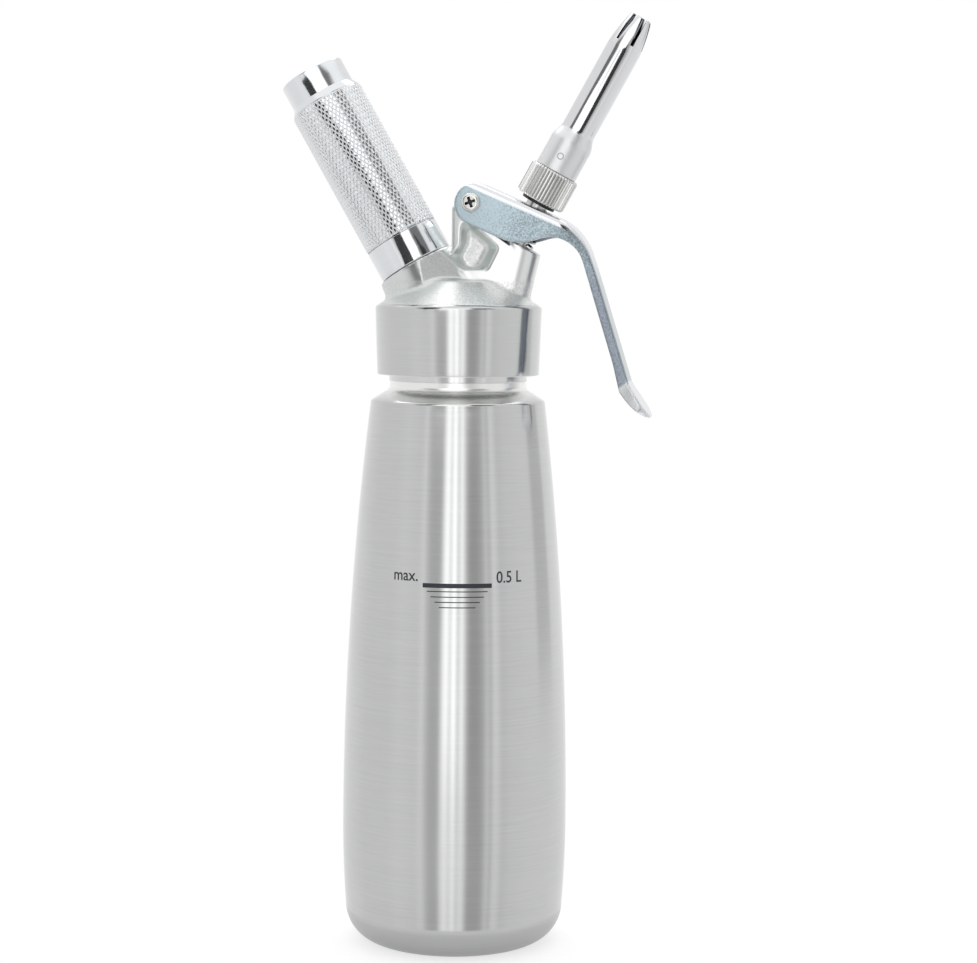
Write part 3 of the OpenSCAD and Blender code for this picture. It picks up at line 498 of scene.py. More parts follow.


# What the brushed bottle and skirt have in common, with the painted highlight of "hollow" on
BRUSHED = {"lines": 0.0014, "hollow": True, "Anisotropic": 0.3, "Anisotropic_Rotation": 0.25}


def plain_soft(name, color, roughness, grain=900.0, depth=0.02, **sockets):
    """Rubber, silicone or ink: a dull skin with a fine grain and a cloudy tone."""
    finish = Finish(name, color, 0.0, roughness, **sockets)
    at = finish.place()
    cloud, fine = finish.noise(at, 120.0, 4.0), finish.noise(at, grain, 3.0)
    finish.set("Base Color", finish.mix(cloud, scaled(color, 0.85), scaled(color, 1.15, 0.004)))
    finish.set("Roughness", roughness + (cloud - 0.5) * 0.2)
    finish.bump(fine, depth)
    return finish.material


# ---------------------------------------------------------------- the pieces' shapes


def wall_radius(z):
    """The bottle's wall: one bow below the widest place and one above it."""
    low = BOTTLE_R - (BOTTLE_R - FOOT_R) * ((WIDE_Z - z) / (WIDE_Z - FOOT_ROUND)) ** 2
    high = BOTTLE_R - (BOTTLE_R - SHOULDER_R) * ((z - WIDE_Z) / (SHOULDER_Z - WIDE_Z)) ** 2
    return np.where(z < WIDE_Z, low, high)


def bottle_outline(inset):
    """The bottle's profile from the middle of its base to the top of its neck, drawn inwards."""
    foot = arc((FOOT_R - FOOT_ROUND, FOOT_ROUND), FOOT_ROUND - inset, -90, 0, 24)
    top, slope = SHOULDER_Z - SHOULDER_ROUND, math.radians(SHOULDER_SLOPE)
    z = np.linspace(FOOT_ROUND, top, 90)[1:]
    side = np.stack([wall_radius(z) - inset, z], -1)
    edge_r, hollow_r = wall_radius(top) - SHOULDER_ROUND, NECK_R + NECK_FILLET
    edge_round = SHOULDER_ROUND - min(inset, SHOULDER_ROUND - 0.2)
    edge = arc((edge_r, top), edge_round, 6, 90 - SHOULDER_SLOPE, 8)
    hollow_z = (top + (edge_r - hollow_r) * math.tan(slope)
                + (SHOULDER_ROUND + NECK_FILLET) / math.cos(slope))
    hollow = arc((hollow_r, hollow_z), NECK_FILLET + inset, 270 - SHOULDER_SLOPE, 180, 14)
    return np.concatenate([[[0, inset]], foot, side, edge, hollow, [[NECK_R - inset, NECK_Z]]])


def thread(radius, depth, pitch, low, high, fade=1.2):
    """A helical thread's radius: one ridge for each pitch, as height less turns, fading at both
    ends."""

    def shape(angle, s, r):
        phase = (s / pitch - angle / (2 * math.pi)) % 1.0
        groove = smooth_step(np.abs(phase - 0.5) * 4 - 0.6)
        share = smooth_step((s - low) / fade) * smooth_step((high - s) / fade)
        return np.where(r > radius - 0.05, r - depth * groove * share, r)

    return shape


# Lattice steps from one groove to the next, and the grooves' slant from the holder's axis
KNURL_CELL, KNURL_SLANT = 5, math.radians(30)


def knurl(radius, depth, low, high, starts):
    """A diamond knurl on a lattice: with a = turns * starts + s / p and b = turns * starts - s / p,
    grooves lie where a or b is whole, and between them stand pyramids with flat tops."""
    cell = KNURL_CELL
    wound = 2 * math.pi * radius / starts / math.tan(KNURL_SLANT)
    rows = int(round((high - low) / wound)) * cell + 1
    columns = starts * cell
    i, j = np.meshgrid(np.arange(rows), np.arange(columns), indexing="ij")
    a, b = (j + i) % cell, (j - i) % cell
    rise = np.minimum(np.minimum(a, cell - a), np.minimum(b, cell - b))
    groove = 1 - np.minimum(rise, 1)
    end = (i == 0) | (i == rows - 1)
    r = np.where(end, radius - depth, radius - depth * groove)
    angle = 2 * math.pi * j / columns
    points = np.stack([r * np.cos(angle), r * np.sin(angle), low + (high - low) * i / (rows - 1)], -1)
    quad = grid_faces(rows, columns, False, True)
    row, column = quad[:, 0] // columns, quad[:, 0] % columns
    a, b = (row + column + 1) % cell, (row - column) % cell
    down = (np.minimum(b, cell - b) < np.minimum(a, cell - a))[:, None, None]
    one = np.stack([quad[:, [0, 1, 2]], quad[:, [0, 2, 3]]], 1)
    other = np.stack([quad[:, [0, 1, 3]], quad[:, [1, 2, 3]]], 1)
    return points.reshape(-1, 3), np.where(down, one, other).reshape(-1, 3), groove.ravel()


def valve_point(s, p):
    """Place in the XZ plane at a distance along the valve's axis and one across it."""
    cosine, sine = math.cos(VALVE_LEAN), math.sin(VALVE_LEAN)
    return np.array([s * sine + p * cosine, VALVE_Z + s * cosine - p * sine])


# The cone's slope, from where it leaves the skirt's rounded edge
CONE_SLOPE = math.atan2(CONE_TOP_Z - (SKIRT_EDGE_Z + 1.13), SKIRT_TOP_R - 0.65 - CONE_TOP_R)
# The web: its rounded end's directions and top, the valve boss's edges across the valve's axis,
# its lug, and its pockets with their floors' distance from the middle
END_LEAN = math.radians(13)
END_ALONG = np.array([math.sin(END_LEAN), math.cos(END_LEAN)])
END_ACROSS = np.array([math.cos(END_LEAN), -math.sin(END_LEAN)])
BOSS_LEFT, BOSS_RIGHT = -8.8, 9.4
WEB_END = valve_point(BOSS_S, BOSS_RIGHT) - END_ACROSS * WEB_HALF
LUG_R = PLATE_H - SHEET - 0.45
POCKET_HALF = 3.6
POCKET_FLOOR = [(3.9, 246.6, 1.0), (7.6, 244.2, 1.0), (10.7, 241.2, 1.0), (7.7, 235.0, 1.4),
                (5.8, 233.9, 1.2), (3.0, 233.9, 1.4), (1.1, 237.2, 1.6), (3.7, 242.4, 3.0)]
POCKET_RIM = [(1.9, 250.2, 2.0), (6.6, 249.2, 2.0), (8.3, 246.6, 1.6), (15.1, 240.8, 1.8),
              (11.2, 233.0, 2.0), (-1.0, 233.1, 1.6), (-3.2, 237.4, 0.9), (1.7, 241.0, 3.0)]
# The flats on the inlet boss: their turn from the XZ plane and their distance from its axis
FACET_TURN, FACET_AT = math.radians(33), 13.55


def web_outline():
    """The web seen from the side: from the cone up its left edge, round the lug, and down its
    right end."""
    end_foot = WEB_END - END_ALONG * 19.6
    lug = arc(PIVOT, LUG_R, 178, -20, 30)
    left, low = -1.4, CONE_TOP_Z - 8
    return np.concatenate([[[left, low], [left, PIVOT[1] - LUG_R / 3]], lug,
                           [valve_point(BOSS_S, BOSS_LEFT), WEB_END, [end_foot[0], low]]])


def facet_field(across, w):
    """Distance outside the inlet boss's flats, from two measures across its axis."""
    return across * math.sin(FACET_TURN) + w * math.cos(FACET_TURN) - FACET_AT


def head_field(x, y, z):
    """The casting above the skirt: cone, web with its lug and rounded end, and inlet boss, joined
    by fillets, less the pockets, the flats, the bores and the hollow under the cone."""
    r, w = np.hypot(x, y), np.abs(y)
    cone_side = (r - CONE_TOP_R) * math.sin(CONE_SLOPE) + (z - CONE_TOP_Z) * math.cos(CONE_SLOPE)
    cone = common(common(cone_side, z - CONE_TOP_Z, 0.8), r - 27.35, 0.25)

    s, p = axis_place(x, z, *VALVE)
    web = common(outline_distance(x, z, WEB), w - WEB_HALF, 0.9)
    across = (x - WEB_END[0]) * END_ACROSS[0] + (z - WEB_END[1]) * END_ACROSS[1]
    along = (x - WEB_END[0]) * END_ALONG[0] + (z - WEB_END[1]) * END_ALONG[1]
    rounded_end = np.maximum(np.hypot(across, y) - WEB_HALF, np.maximum(along - 9, -along - 24))
    arm = np.minimum(web, rounded_end)
    arm = common(arm, joined(s - BOSS_S, p - BOSS_LEFT, 0.8), 0.35)

    t = np.clip((w - POCKET_HALF) / POCKET_HALF, 0, 1.4)
    shape = (1 - t) * outline_distance(x, z, FLOOR_LINE) + t * outline_distance(x, z, RIM_LINE)
    pocket = common(0.75 * shape, POCKET_HALF - w, 0.9)
    arm = common(arm, -pocket, 0.45)

    si, q = axis_place(x, z, *INLET)
    ring = np.hypot(q, y)
    boss_r = 16.5 - (si - 12.4) * 2.4 / 17
    boss = common((ring - boss_r) * 0.99, si - INLET_S, 0.45)
    boss = common(boss, facet_field(q, w), 0.12)

    head = joined(joined(cone, arm, 1.1), boss, 1.6)
    head = common(head, SEAT_Z - z, 0.1)
    hollow = np.maximum(np.maximum(z - 223.0, (r - 11) * 0.48 + (z - 223) * 0.88), 200 - z)
    chamber = np.maximum(np.hypot(p, y) - 5.7, s - 22)
    guide = np.maximum(np.hypot(p, y) - 3.9, s - 60)
    stud_hole = np.maximum(ring - 8.1, 18.3 - si)
    gas = np.maximum(ring - 1.2, 5 - si)
    pin = np.hypot(x - PIVOT[0], z - PIVOT[1]) - 2.85
    valve_side = np.maximum(np.minimum(chamber, guide), 7 - s)
    cut = np.minimum(np.minimum(np.minimum(hollow, valve_side), np.minimum(stud_hole, gas)), pin)
    return common(head, -cut, 0.15)


def lever_axes(turn):
    """Directions along and square to a part of the lever that is bent down by an angle."""
    return np.array([math.cos(turn), -math.sin(turn)]), np.array([math.sin(turn), math.cos(turn)])


HANDLE_DIR, HANDLE_OUT = lever_axes(HANDLE_TURN)
PADDLE_DIR, PADDLE_OUT = lever_axes(HANDLE_TURN - PADDLE_TURN)
HANDLE_END = np.array([CORNER_U, PLATE_H]) + HANDLE_DIR * 55
PADDLE_END = HANDLE_END + PADDLE_DIR * 13.5


def lever_half_width(u):
    """Half of the lever's width along its plate: cheeks, narrowed at the bend, handle, paddle."""
    narrow = smooth_step((u - (CORNER_U - 8)) / 16)
    wide = smooth_step((u - (HANDLE_END[0] - 3)) / 9)
    return 9.0 - 3.5 * narrow + 2.5 * wide


def past_handle(u, n):
    """Distance past the handle's end, along the paddle."""
    return (u - HANDLE_END[0]) * PADDLE_DIR[0] + (n - HANDLE_END[1]) * PADDLE_DIR[1]


def lever_outlines():
    """The lever from the side, in its own plane: the outer line carried past both its ends, and
    the whole outline with the bowed lower edge of the cheeks."""
    bend_r = 21.0
    tangent = bend_r * math.tan(HANDLE_TURN / 2)
    bend_end = 90 - math.degrees(HANDLE_TURN)
    bend = arc((CORNER_U - tangent, PLATE_H - bend_r), bend_r, 90, bend_end, 24)
    far = HANDLE_END + PADDLE_DIR * 30
    outer = np.concatenate([[[-40, PLATE_H]], bend,
                            [HANDLE_END, far, far - HANDLE_OUT * 60, [-40, -60]]])
    rise, bow_u, bow_r = math.radians(40), 14, 17
    bow_end = np.array([bow_u + bow_r * math.sin(rise), bow_r * (1 - math.cos(rise)) - PLATE_H])
    slope_end = bow_end + 2.5 * np.array([math.cos(rise), math.sin(rise)])
    inward = np.array([math.sin(rise), -math.cos(rise)])
    offset = np.dot([CORNER_U, PLATE_H], HANDLE_OUT) - 3.3
    hump_r = (offset - slope_end @ HANDLE_OUT) / (1 + inward @ HANDLE_OUT)
    hump = slope_end + inward * hump_r
    t = np.linspace(0, 1, 12)[:, None]
    dip = 0.8 + 3.5 * np.sin(t * math.pi / 2) ** 0.8
    tip_bow = PADDLE_END - PADDLE_DIR * (0.2 + 13 * t) - PADDLE_OUT * dip
    lower = np.concatenate([
        [PADDLE_END + PADDLE_OUT * 2], tip_bow, [HANDLE_END - HANDLE_OUT * 3.4 - HANDLE_DIR * 8],
        arc(hump, hump_r, 130, bend_end, 16)[::-1],
        arc((bow_u, bow_r - PLATE_H), bow_r, -90, -50, 14)[::-1],
        arc((1.3, 0), PLATE_H, 90, 270, 40)[::-1]])
    return outer, np.concatenate([bend, [HANDLE_END + HANDLE_OUT * 2], lower])


def lever_field(u, y, n):
    """The lever's pressed sheet: a skin as thick as the sheet under the outer faces, which meet in a
    bend, cut by the side outline, by the slot for the stem and by the paddle's round end. The
    paddle is filled."""
    w = np.abs(y)
    top = outline_distance(u, n, LEVER_OUTER)
    bend = 2.3 - 1.5 * smooth_step((u - CORNER_U + 4) / 14)
    skin = common(top, w - lever_half_width(u), bend)
    along = past_handle(u, n)
    sheet = common(skin, -(skin + SHEET + 9 * smooth_step(along / 5)), 0.2)
    body = common(sheet, outline_distance(u, n, LEVER_SIDE), 0.5)
    slot = np.hypot(np.maximum(np.abs(u - SLOT_U) - 1.2, 0), y) - 4.9
    body = common(body, -np.maximum(slot, 3 - n), 0.35)
    body = common(body, 2.8 - np.hypot(u, n), 0.1)
    end = np.hypot(np.maximum(along - 6.0, 0), w * 0.88) - 7.5
    return common(body, np.where(along > 2, end, -3.0), 0.35)


def slot_place():
    """Where the valve's axis crosses the middle of the plate, measured along the plate."""
    cosine, sine = math.cos(PLATE_SLOPE), math.sin(PLATE_SLOPE)
    rise = PLATE_H - SHEET / 2 + PIVOT[0] * sine + (PIVOT[1] - VALVE_Z) * cosine
    x, z = valve_point(rise / math.cos(VALVE_LEAN - PLATE_SLOPE), 0)
    return (x - PIVOT[0]) * cosine - (z - PIVOT[1]) * sine


WEB = web_outline()
FLOOR_LINE, RIM_LINE = rounded(POCKET_FLOOR, 4), rounded(POCKET_RIM, 4)
LEVER_OUTER, LEVER_SIDE = lever_outlines()
SLOT_U = slot_place()


# ---------------------------------------------------------------- settings


def length(name, description, default, low, high):
    """A setting in metres."""
    return FloatProperty(name=name, description=description, default=default, unit="LENGTH",
                         min=low, max=high)


def number(name, description, default, low, high):
    """A setting that counts something."""
    return IntProperty(name=name, description=description, default=default, min=low, max=high)


def tint(name, description, *default):
    """A setting that is a colour."""
    return FloatVectorProperty(name=name, description=description, subtype="COLOR",
                               default=default, min=0, max=1)


class DispenserSizes(bpy.types.PropertyGroup):
    """Sizes that a user would change."""

    knurl_starts: number("Knurl grooves", "Grooves round the holder in each direction",
                         56, 24, 96)
    knurl_depth: length("Knurl depth", "Depth of the knurl's grooves", 0.00022, 0.0001, 0.0006)
    flutes: number("Adapter flutes", "Flutes round the nozzle adapter", 44, 24, 72)
    cast_step: length("Casting grid", "Grid on which the casting's surface is worked out",
                      0.0005, 0.0003, 0.001)
    mark_height: length("Fill mark height", "Height of the fill mark's thick bar", 0.1281, 0.08, 0.17)
    mark_text: StringProperty(name="Fill mark text", description="Plain words beside the fill mark",
                              default="max.,0.5 L")


class DispenserColors(bpy.types.PropertyGroup):
    """Colours of the finishes."""

    steel: tint("Steel", "Brushed steel of the bottle", 0.635, 0.645, 0.64)
    casting: tint("Casting", "Cast head", 0.90, 0.915, 0.90)
    aluminium: tint("Aluminium", "Charger holder", 0.84, 0.86, 0.88)
    zinc: tint("Zinc", "Plated lever", 0.37, 0.445, 0.485)
    nickel: tint("Nickel", "Fluted adapter", 0.76, 0.765, 0.75)
    ink: tint("Ink", "Fill mark", 0.018, 0.022, 0.032)


class PieceOperator(bpy.types.Operator):
    """An operator that builds pieces and reports a failure as an error."""

    bl_idname = "dispenser.piece"
    bl_label = "Dispenser Piece"
    bl_options = {"REGISTER", "UNDO"}

    def execute(self, context):
        self.build(context.scene.dispenser_sizes, context.scene.dispenser_colors)
        return {"FINISHED"}


class DISPENSER_OT_bottle(PieceOperator):
    """Drawn bottle with its brushed wall"""

    bl_idname = "dispenser.bottle"
    bl_label = "Bottle"

    def build(self, sizes, colors):
        steel = turned_metal("bottle_steel", tuple(colors.steel), 0.14, tone=0.035, **BRUSHED)
        points, faces = lathe(np.concatenate([bottle_outline(0), bottle_outline(WALL)[::-1]]), 256)
        # Painted highlight mask: the neck hollow above the shoulder gets the paler, less glossy
        # "hollow" tone
        hollow = smooth_step((points[:, 2] - SHOULDER_Z - 0.3) / 1.2)
        make_piece("bottle_shell", [(points, faces, 0)], [steel], "bottle",
                   ["bottle"], attributes={"hollow": hollow})


class DISPENSER_OT_neck(PieceOperator):
    """Welded neck ring with its thread, and the gasket on it"""

    bl_idname = "dispenser.neck"
    bl_label = "Neck and Gasket"

    def build(self, sizes, colors):
        steel = turned_metal("neck_steel", (0.72, 0.73, 0.725), 0.16)
        low, lining_r = NECK_Z + 3.7, NECK_R - WALL - 0.05
        profile = spread(rounded([
            (MOUTH_R, NECK_Z - 5, 0.3), (lining_r, NECK_Z - 5, 0.3), (lining_r, NECK_Z, 0),
            (LIP_R, NECK_Z, 0.3), (LIP_R, NECK_Z + 3.2, 0.3), (THREAD_R, low, 0),
            (THREAD_R, MOUTH_Z - 0.8, 0.2), (THREAD_R - 0.8, MOUTH_Z, 0.2),
            (MOUTH_R, MOUTH_Z, 0.4)]), 0.3)
        turned_piece("neck_ring", profile, 192, steel, "bottle", "threaded_neck",
                     shape=thread(THREAD_R, 0.7, 2.5, low, MOUTH_Z - 1))
        rubber = plain_soft("gasket_rubber", (0.03, 0.03, 0.032), 0.55)
        ring = rounded([(r, z, 0.4) for r, z in (
            (20.0, MOUTH_Z), (24.45, MOUTH_Z), (24.45, SEAT_Z), (20.0, SEAT_Z))])
        turned_piece("gasket_ring", ring, 160, rubber, "gasket", "head_gasket")


class DISPENSER_OT_head(PieceOperator):
    """Cast head: turned skirt, and the casting above it with its fillets"""

    bl_idname = "dispenser.head"
    bl_label = "Head Casting"

    def build(self, sizes, colors):
        turned = turned_metal("skirt_steel", tuple(colors.steel), 0.16, tone=0.03, **BRUSHED)
        edge = arc((SKIRT_TOP_R - SKIRT_ROUND, SKIRT_EDGE_Z), SKIRT_ROUND, 0, 60, 8)
        seam_z, roof_z = edge[-1][1] + 0.75 * math.tan(CONE_SLOPE) - 0.06, 222.4
        under = [[27.2, seam_z], [24.5, roof_z], [20.5, roof_z], [20.5, SEAT_Z]]
        low = rounded([(HEAD_BORE_R, SEAT_Z, 0), (HEAD_BORE_R, SKIRT_Z, 0.5),
                       (SKIRT_R, SKIRT_Z, 0.45), (SKIRT_TOP_R, SKIRT_EDGE_Z, 0)], 5, False)
        skirt, skirt_faces = lathe(spread(np.concatenate([low[:-1], edge, under]), 1.5), 256, True)
        box = (-28.2, -28.2, 217.4), (28.6, 28.2, 262.6)
        cast, cast_faces = level_surface(head_field, *box, sizes.cast_step / MM)
        # Painted highlight mask: the skirt's lower face gets the paler, less glossy "hollow" tone
        rest, foot = np.zeros(len(skirt)), smooth_step((SKIRT_Z + 0.3 - skirt[:, 2]) / 0.2)
        blasted, painted_shade = self.blasted(cast)
        attributes = {"blasted": np.concatenate([rest, blasted]),
                      "painted_shade": np.concatenate([rest, painted_shade]),
                      "hollow": np.concatenate([foot, np.zeros(len(cast))])}
        make_piece("head_shell", [(skirt, skirt_faces, 0), (cast, cast_faces, 1)],
                   [turned, self.cast_metal(tuple(colors.casting))], "head",
                   ["head_casting"], attributes=attributes)

    def cast_metal(self, color):
        """Grainy where it is blasted, greyer with painted shade on the pockets' sides, the flats and
        the inlet boss, and polished elsewhere.
        """
        finish = Finish("head_steel", color, 1.0, 0.3)
        at, matt = finish.place(), finish.attribute("blasted")
        grain, specks = finish.noise(at, 3400.0, 2.0, 0.7), finish.noise(at, 1500.0, 2.0)
        cloud = finish.noise(at, 130.0, 3.0)
        finish.set("Roughness", finish.between(matt, 0.3, 0.4) + (cloud - 0.5) * 0.1)
        share = finish.between(grain * 0.6 + specks * 0.4, 0.0, 1.0, 0.38, 0.62)
        dull = finish.mix(share, scaled(color, 0.80), scaled(color, 1.10))
        tone = finish.mix(matt, (0.86, 0.87, 0.865), dull)
        # Painted shade: the grey (0.66, 0.70, 0.68) darkens the pockets' sides, the flats and the
        # inlet boss
        finish.set("Base Color", finish.mix(finish.attribute("painted_shade"), tone, (0.66, 0.70, 0.68)))
        finish.bump((grain + specks * 0.8) * matt * 0.8 + cloud * 0.5, 0.03)
        return finish.material

    def blasted(self, points):
        """How matt each point is, and how much painted shade it gets: the cone, the pockets'
        floors and the flats are blasted, the pockets' sides, the flats and the inlet boss get painted
        shade, and the web is polished."""
        x, y, z = points.T
        w, r = np.abs(y), np.hypot(x, y)
        cone = smooth_step((CONE_TOP_Z + 0.4 - z) / 0.8) * smooth_step((r - 8) / 3)
        pocket = smooth_step(0.2 - outline_distance(x, z, RIM_LINE) / 0.4) * (z > CONE_TOP_Z + 1)
        floor = smooth_step((4.6 - w) / 0.8) * pocket
        painted_shade = smooth_step((w - 3.9) / 0.9) * pocket * smooth_step((7.15 - w) / 0.3)
        along, across = axis_place(x, z, *INLET)
        flat = smooth_step((0.10 - np.abs(facet_field(across, w))) / 0.08) * (r > 6)
        ring = np.hypot(across, y)
        boss = smooth_step((along - 15) / 3) * smooth_step((ring - 11.5) / 1.5)
        boss = boss * smooth_step((3 - x) / 3)
        # Painted shade: full on the pockets' sides, 0.45 on the flats and 0.6 on the inlet boss
        dark = np.clip(painted_shade + 0.45 * flat + 0.6 * boss * (1 - flat), 0, 1)
        return np.maximum(np.maximum(cone, floor), flat), dark


class DISPENSER_OT_inlet(PieceOperator):
    """Gas inlet: the threaded stud with its socket"""

    bl_idname = "dispenser.inlet"
    bl_label = "Gas Inlet"

    def build(self, sizes, colors):
        metal = turned_metal("turned_steel", (0.7, 0.7, 0.69), 0.2, *INLET, fine=2400.0)
        pin_s, foot_s, socket_s = 29.1, INLET_S - 11, 31.5
        profile = rounded([
            (1.2, foot_s, 0.3), (8.0, foot_s, 0.4), (8.0, INLET_S, 0), (10.8, INLET_S, 0.2),
            (10.8, STUD_TOP_S - 0.8, 0.2), (10.0, STUD_TOP_S, 0.3), (4.9, STUD_TOP_S, 0.5),
            (4.9, socket_s, 0.2), (3.05, socket_s, 0), (3.05, pin_s + 0.95, 0),
            (2.55, pin_s + 0.95, 0), (2.55, pin_s - 4.15, 0), (1.2, pin_s - 4.15, 0)])
        profile = spread(np.concatenate([profile, profile[:1]]), 0.22)[:-1]
        turned_piece("inlet_thread", profile, 160, metal, "head", "inlet_stud", INLET,
                     shape=thread(10.8, 0.75, 1.5, INLET_S + 0.6, STUD_TOP_S - 0.8, 0.8))


class DISPENSER_OT_holder(PieceOperator):
    """Knurled charger holder, and the gas charger inside it"""

    bl_idname = "dispenser.holder"
    bl_label = "Charger Holder"

    def build(self, sizes, colors):
        color = tuple(colors.aluminium)
        smooth = turned_metal("holder_polished", color, 0.1, *INLET)
        groove, cap, step_s = HOLDER_S + 10.9, HOLDER_TOP_S - 8.7, HOLDER_TOP_S - 11.2
        low, radius, columns = groove + 0.25, 13.1, sizes.knurl_starts * KNURL_CELL
        band = rounded([(10.9, HOLDER_S, 0.2), (radius, HOLDER_S, 0.4), (radius, groove - 0.3, 0.15),
                        (12.75, groove, 0.1), (12.75, low, 0)], 5, False)
        dome_half, rise = 10.8, 1.2
        curve = (dome_half ** 2 + rise ** 2) / (2 * rise)
        r = np.linspace(dome_half - 0.05, 0, 14)
        dome = np.stack([r, HOLDER_TOP_S + rise - curve + np.sqrt(curve ** 2 - r ** 2)], -1)
        upper = rounded([(12.82, step_s, 0), (12.95, step_s + 0.05, 0.2), (11.4, cap, 0.4),
                         (11.4, HOLDER_TOP_S - 0.1, 0.6), (dome_half, HOLDER_TOP_S, 0)], 6, False)
        inside_r, end = 9.2, CHARGER_END_S + 0.35
        inner = np.concatenate([arc((0, end - inside_r), inside_r, 90, 0, 16),
                                [[inside_r, STUD_TOP_S + 1.7], [10.9, STUD_TOP_S]]])
        *grip, grooves = knurl(radius, sizes.knurl_depth / MM, low, step_s, sizes.knurl_starts)
        foot = lathe(spread(np.concatenate([inner, band]), 4), columns)
        top = lathe(spread(np.concatenate([upper[:-1], dome]), 4), columns)
        parts = [(leaning(points, *INLET), faces, index)
                 for (points, faces), index in ((foot, 0), (grip, 1), (top, 0))]
        # The knurl's grooves get a dull finish and a painted highlight
        grooves = np.concatenate([np.zeros(len(foot[0])), grooves, np.zeros(len(top[0]))])
        make_piece("holder_shell", parts, [smooth, self.knurled(color)], "holder",
                   ["charger_holder"], sharp=24.0, attributes={"groove": grooves})
        self.charger()

    def knurled(self, color):
        """Polished on the knurl's tops, dull in its grooves, with a painted highlight that makes the
        grooves paler.
        """
        finish = Finish("holder_knurl", color, 1.0, 0.1)
        dull, cloud = finish.attribute("groove"), finish.noise(finish.place(), 300.0, 3.0)
        finish.set("Roughness", finish.between(dull, 0.1, 0.5, 0.0, 0.6) + (cloud - 0.5) * 0.06)
        # Painted highlight: the grooves' colour is paler than the aluminium
        finish.set("Base Color", finish.mix(dull, color, (0.93, 0.94, 0.95)))
        finish.bump(cloud, 0.003)
        return finish.material

    def charger(self):
        """The small gas bottle: its capped neck, bowed shoulder and round end, and its hollow."""
        steel = turned_metal("charger_steel", (0.62, 0.63, 0.64), 0.24, *INLET, lines=0.003)
        t = np.linspace(0, 1, 20)
        widening, round_s, floor_s = 4.55 * smooth_step(t), CHARGER_END_S - 8.85, CHARGER_S + 1.4
        bow = np.stack([4.3 + widening, CHARGER_S + 9 + 5.5 * t], -1)
        outer = np.concatenate([[[1.45, CHARGER_S], [3.9, CHARGER_S], [4.3, CHARGER_S + 0.4]],
                                bow, arc((0, round_s), 8.85, 0, 90, 20)])
        wall = np.stack([2.9 + widening, CHARGER_S + 10.4 + 5.5 * t * 0.75], -1)
        hollow = np.concatenate([arc((0, round_s), 7.45, 90, 0, 16), wall[::-1],
                                 [[2.9, floor_s], [1.45, floor_s], [1.45, CHARGER_S]]])
        turned_piece("charger_shell", np.concatenate([outer, hollow]), 128, steel, "charger",
                     "gas_charger", INLET, closed=False)


class DISPENSER_OT_lever(PieceOperator):
    """Pressed lever with its wide bends and finger paddle"""

    bl_idname = "dispenser.lever"
    bl_label = "Lever"

    def build(self, sizes, colors):
        box = (-8.4, -10.4, -60.5), (89.5, 10.4, 9.0)
        local, faces = level_surface(lever_field, *box, sizes.cast_step / MM)
        u, y, n = local.T
        cosine, sine = math.cos(PLATE_SLOPE), math.sin(PLATE_SLOPE)
        points = np.stack([PIVOT[0] + u * cosine + n * sine, y, PIVOT[1] - u * sine + n * cosine], -1)
        side, depth = np.abs(y) - lever_half_width(u), -outline_distance(u, n, LEVER_OUTER)
        cheek = smooth_step((side + 0.22) / 0.15) * smooth_step((PLATE_H - 2.3 - n) / 0.6)
        cheek = np.where(u < CORNER_U - 4, cheek, smooth_step((side + 0.45) / 0.35))
        tab = smooth_step(past_handle(u, n) + 1.5)
        # Painted shade mask: "handle" covers the handle's sides and, through "inside", the sheet's
        # inner faces
        handle = smooth_step((u - CORNER_U - 2) / 12) * (1 - tab)
        inside = smooth_step((-side - 0.6) / 0.5) * smooth_step((depth - 0.6) / 0.5) * (1 - tab)
        attributes = {"matt": np.maximum(cheek, inside), "handle": np.maximum(handle, inside),
                      "tab": tab, "pale": smooth_step((22 - u) / 24) * (1 - inside)}
        make_piece("lever_sheet", [(points, faces, 0)], [self.plated(tuple(colors.zinc))], "lever",
                   ["lever"], attributes=attributes)

    def plated(self, color):
        """Mottled zinc: matt and blue-grey on the cheeks, paler round the pivot, with painted shade
        along the handle's sides and on the sheet's inner faces, a darker tone on the handle's
        polished strip, partly zinc colour and partly painted reflection, and brighter on the outer
        faces and the paddle."""
        finish = Finish("lever_zinc", color, 1.0, 0.3)
        at = finish.place()
        matt, handle, tab = (finish.attribute(key) for key in ("matt", "handle", "tab"))
        mottle, specks = finish.noise(at, 3600.0, 2.0, 0.7), finish.noise(at, 1700.0, 2.0)
        cloud = finish.noise(at, 70.0, 3.0)
        share = mottle * 0.4 + specks * 0.4 + cloud * 0.2 + finish.attribute("pale") * 0.12
        share = finish.between(share, 0.0, 1.0, 0.38, 0.62)
        dull = finish.mix(share, scaled(color, 0.64), scaled(color, 1.42))
        dull = finish.mix(tab, dull, (0.70, 0.715, 0.725))
        # Painted shade on the handle's sides and the sheet's inner faces, and a darker tone on the
        # handle's polished strip, partly painted reflection
        dull = finish.mix(handle, dull, finish.mix(share, (0.25, 0.29, 0.34), (0.37, 0.41, 0.47)))
        bright = finish.mix(handle, (0.80, 0.81, 0.84), (0.46, 0.51, 0.53))
        finish.set("Base Color", finish.mix(matt, bright, dull))
        finish.set("Roughness", finish.between(matt, 0.16, 0.36) + (cloud - 0.5) * 0.1)
        finish.bump((mottle + specks * 0.6) * matt * (1 - tab * 0.9), 0.06)
        return finish.material


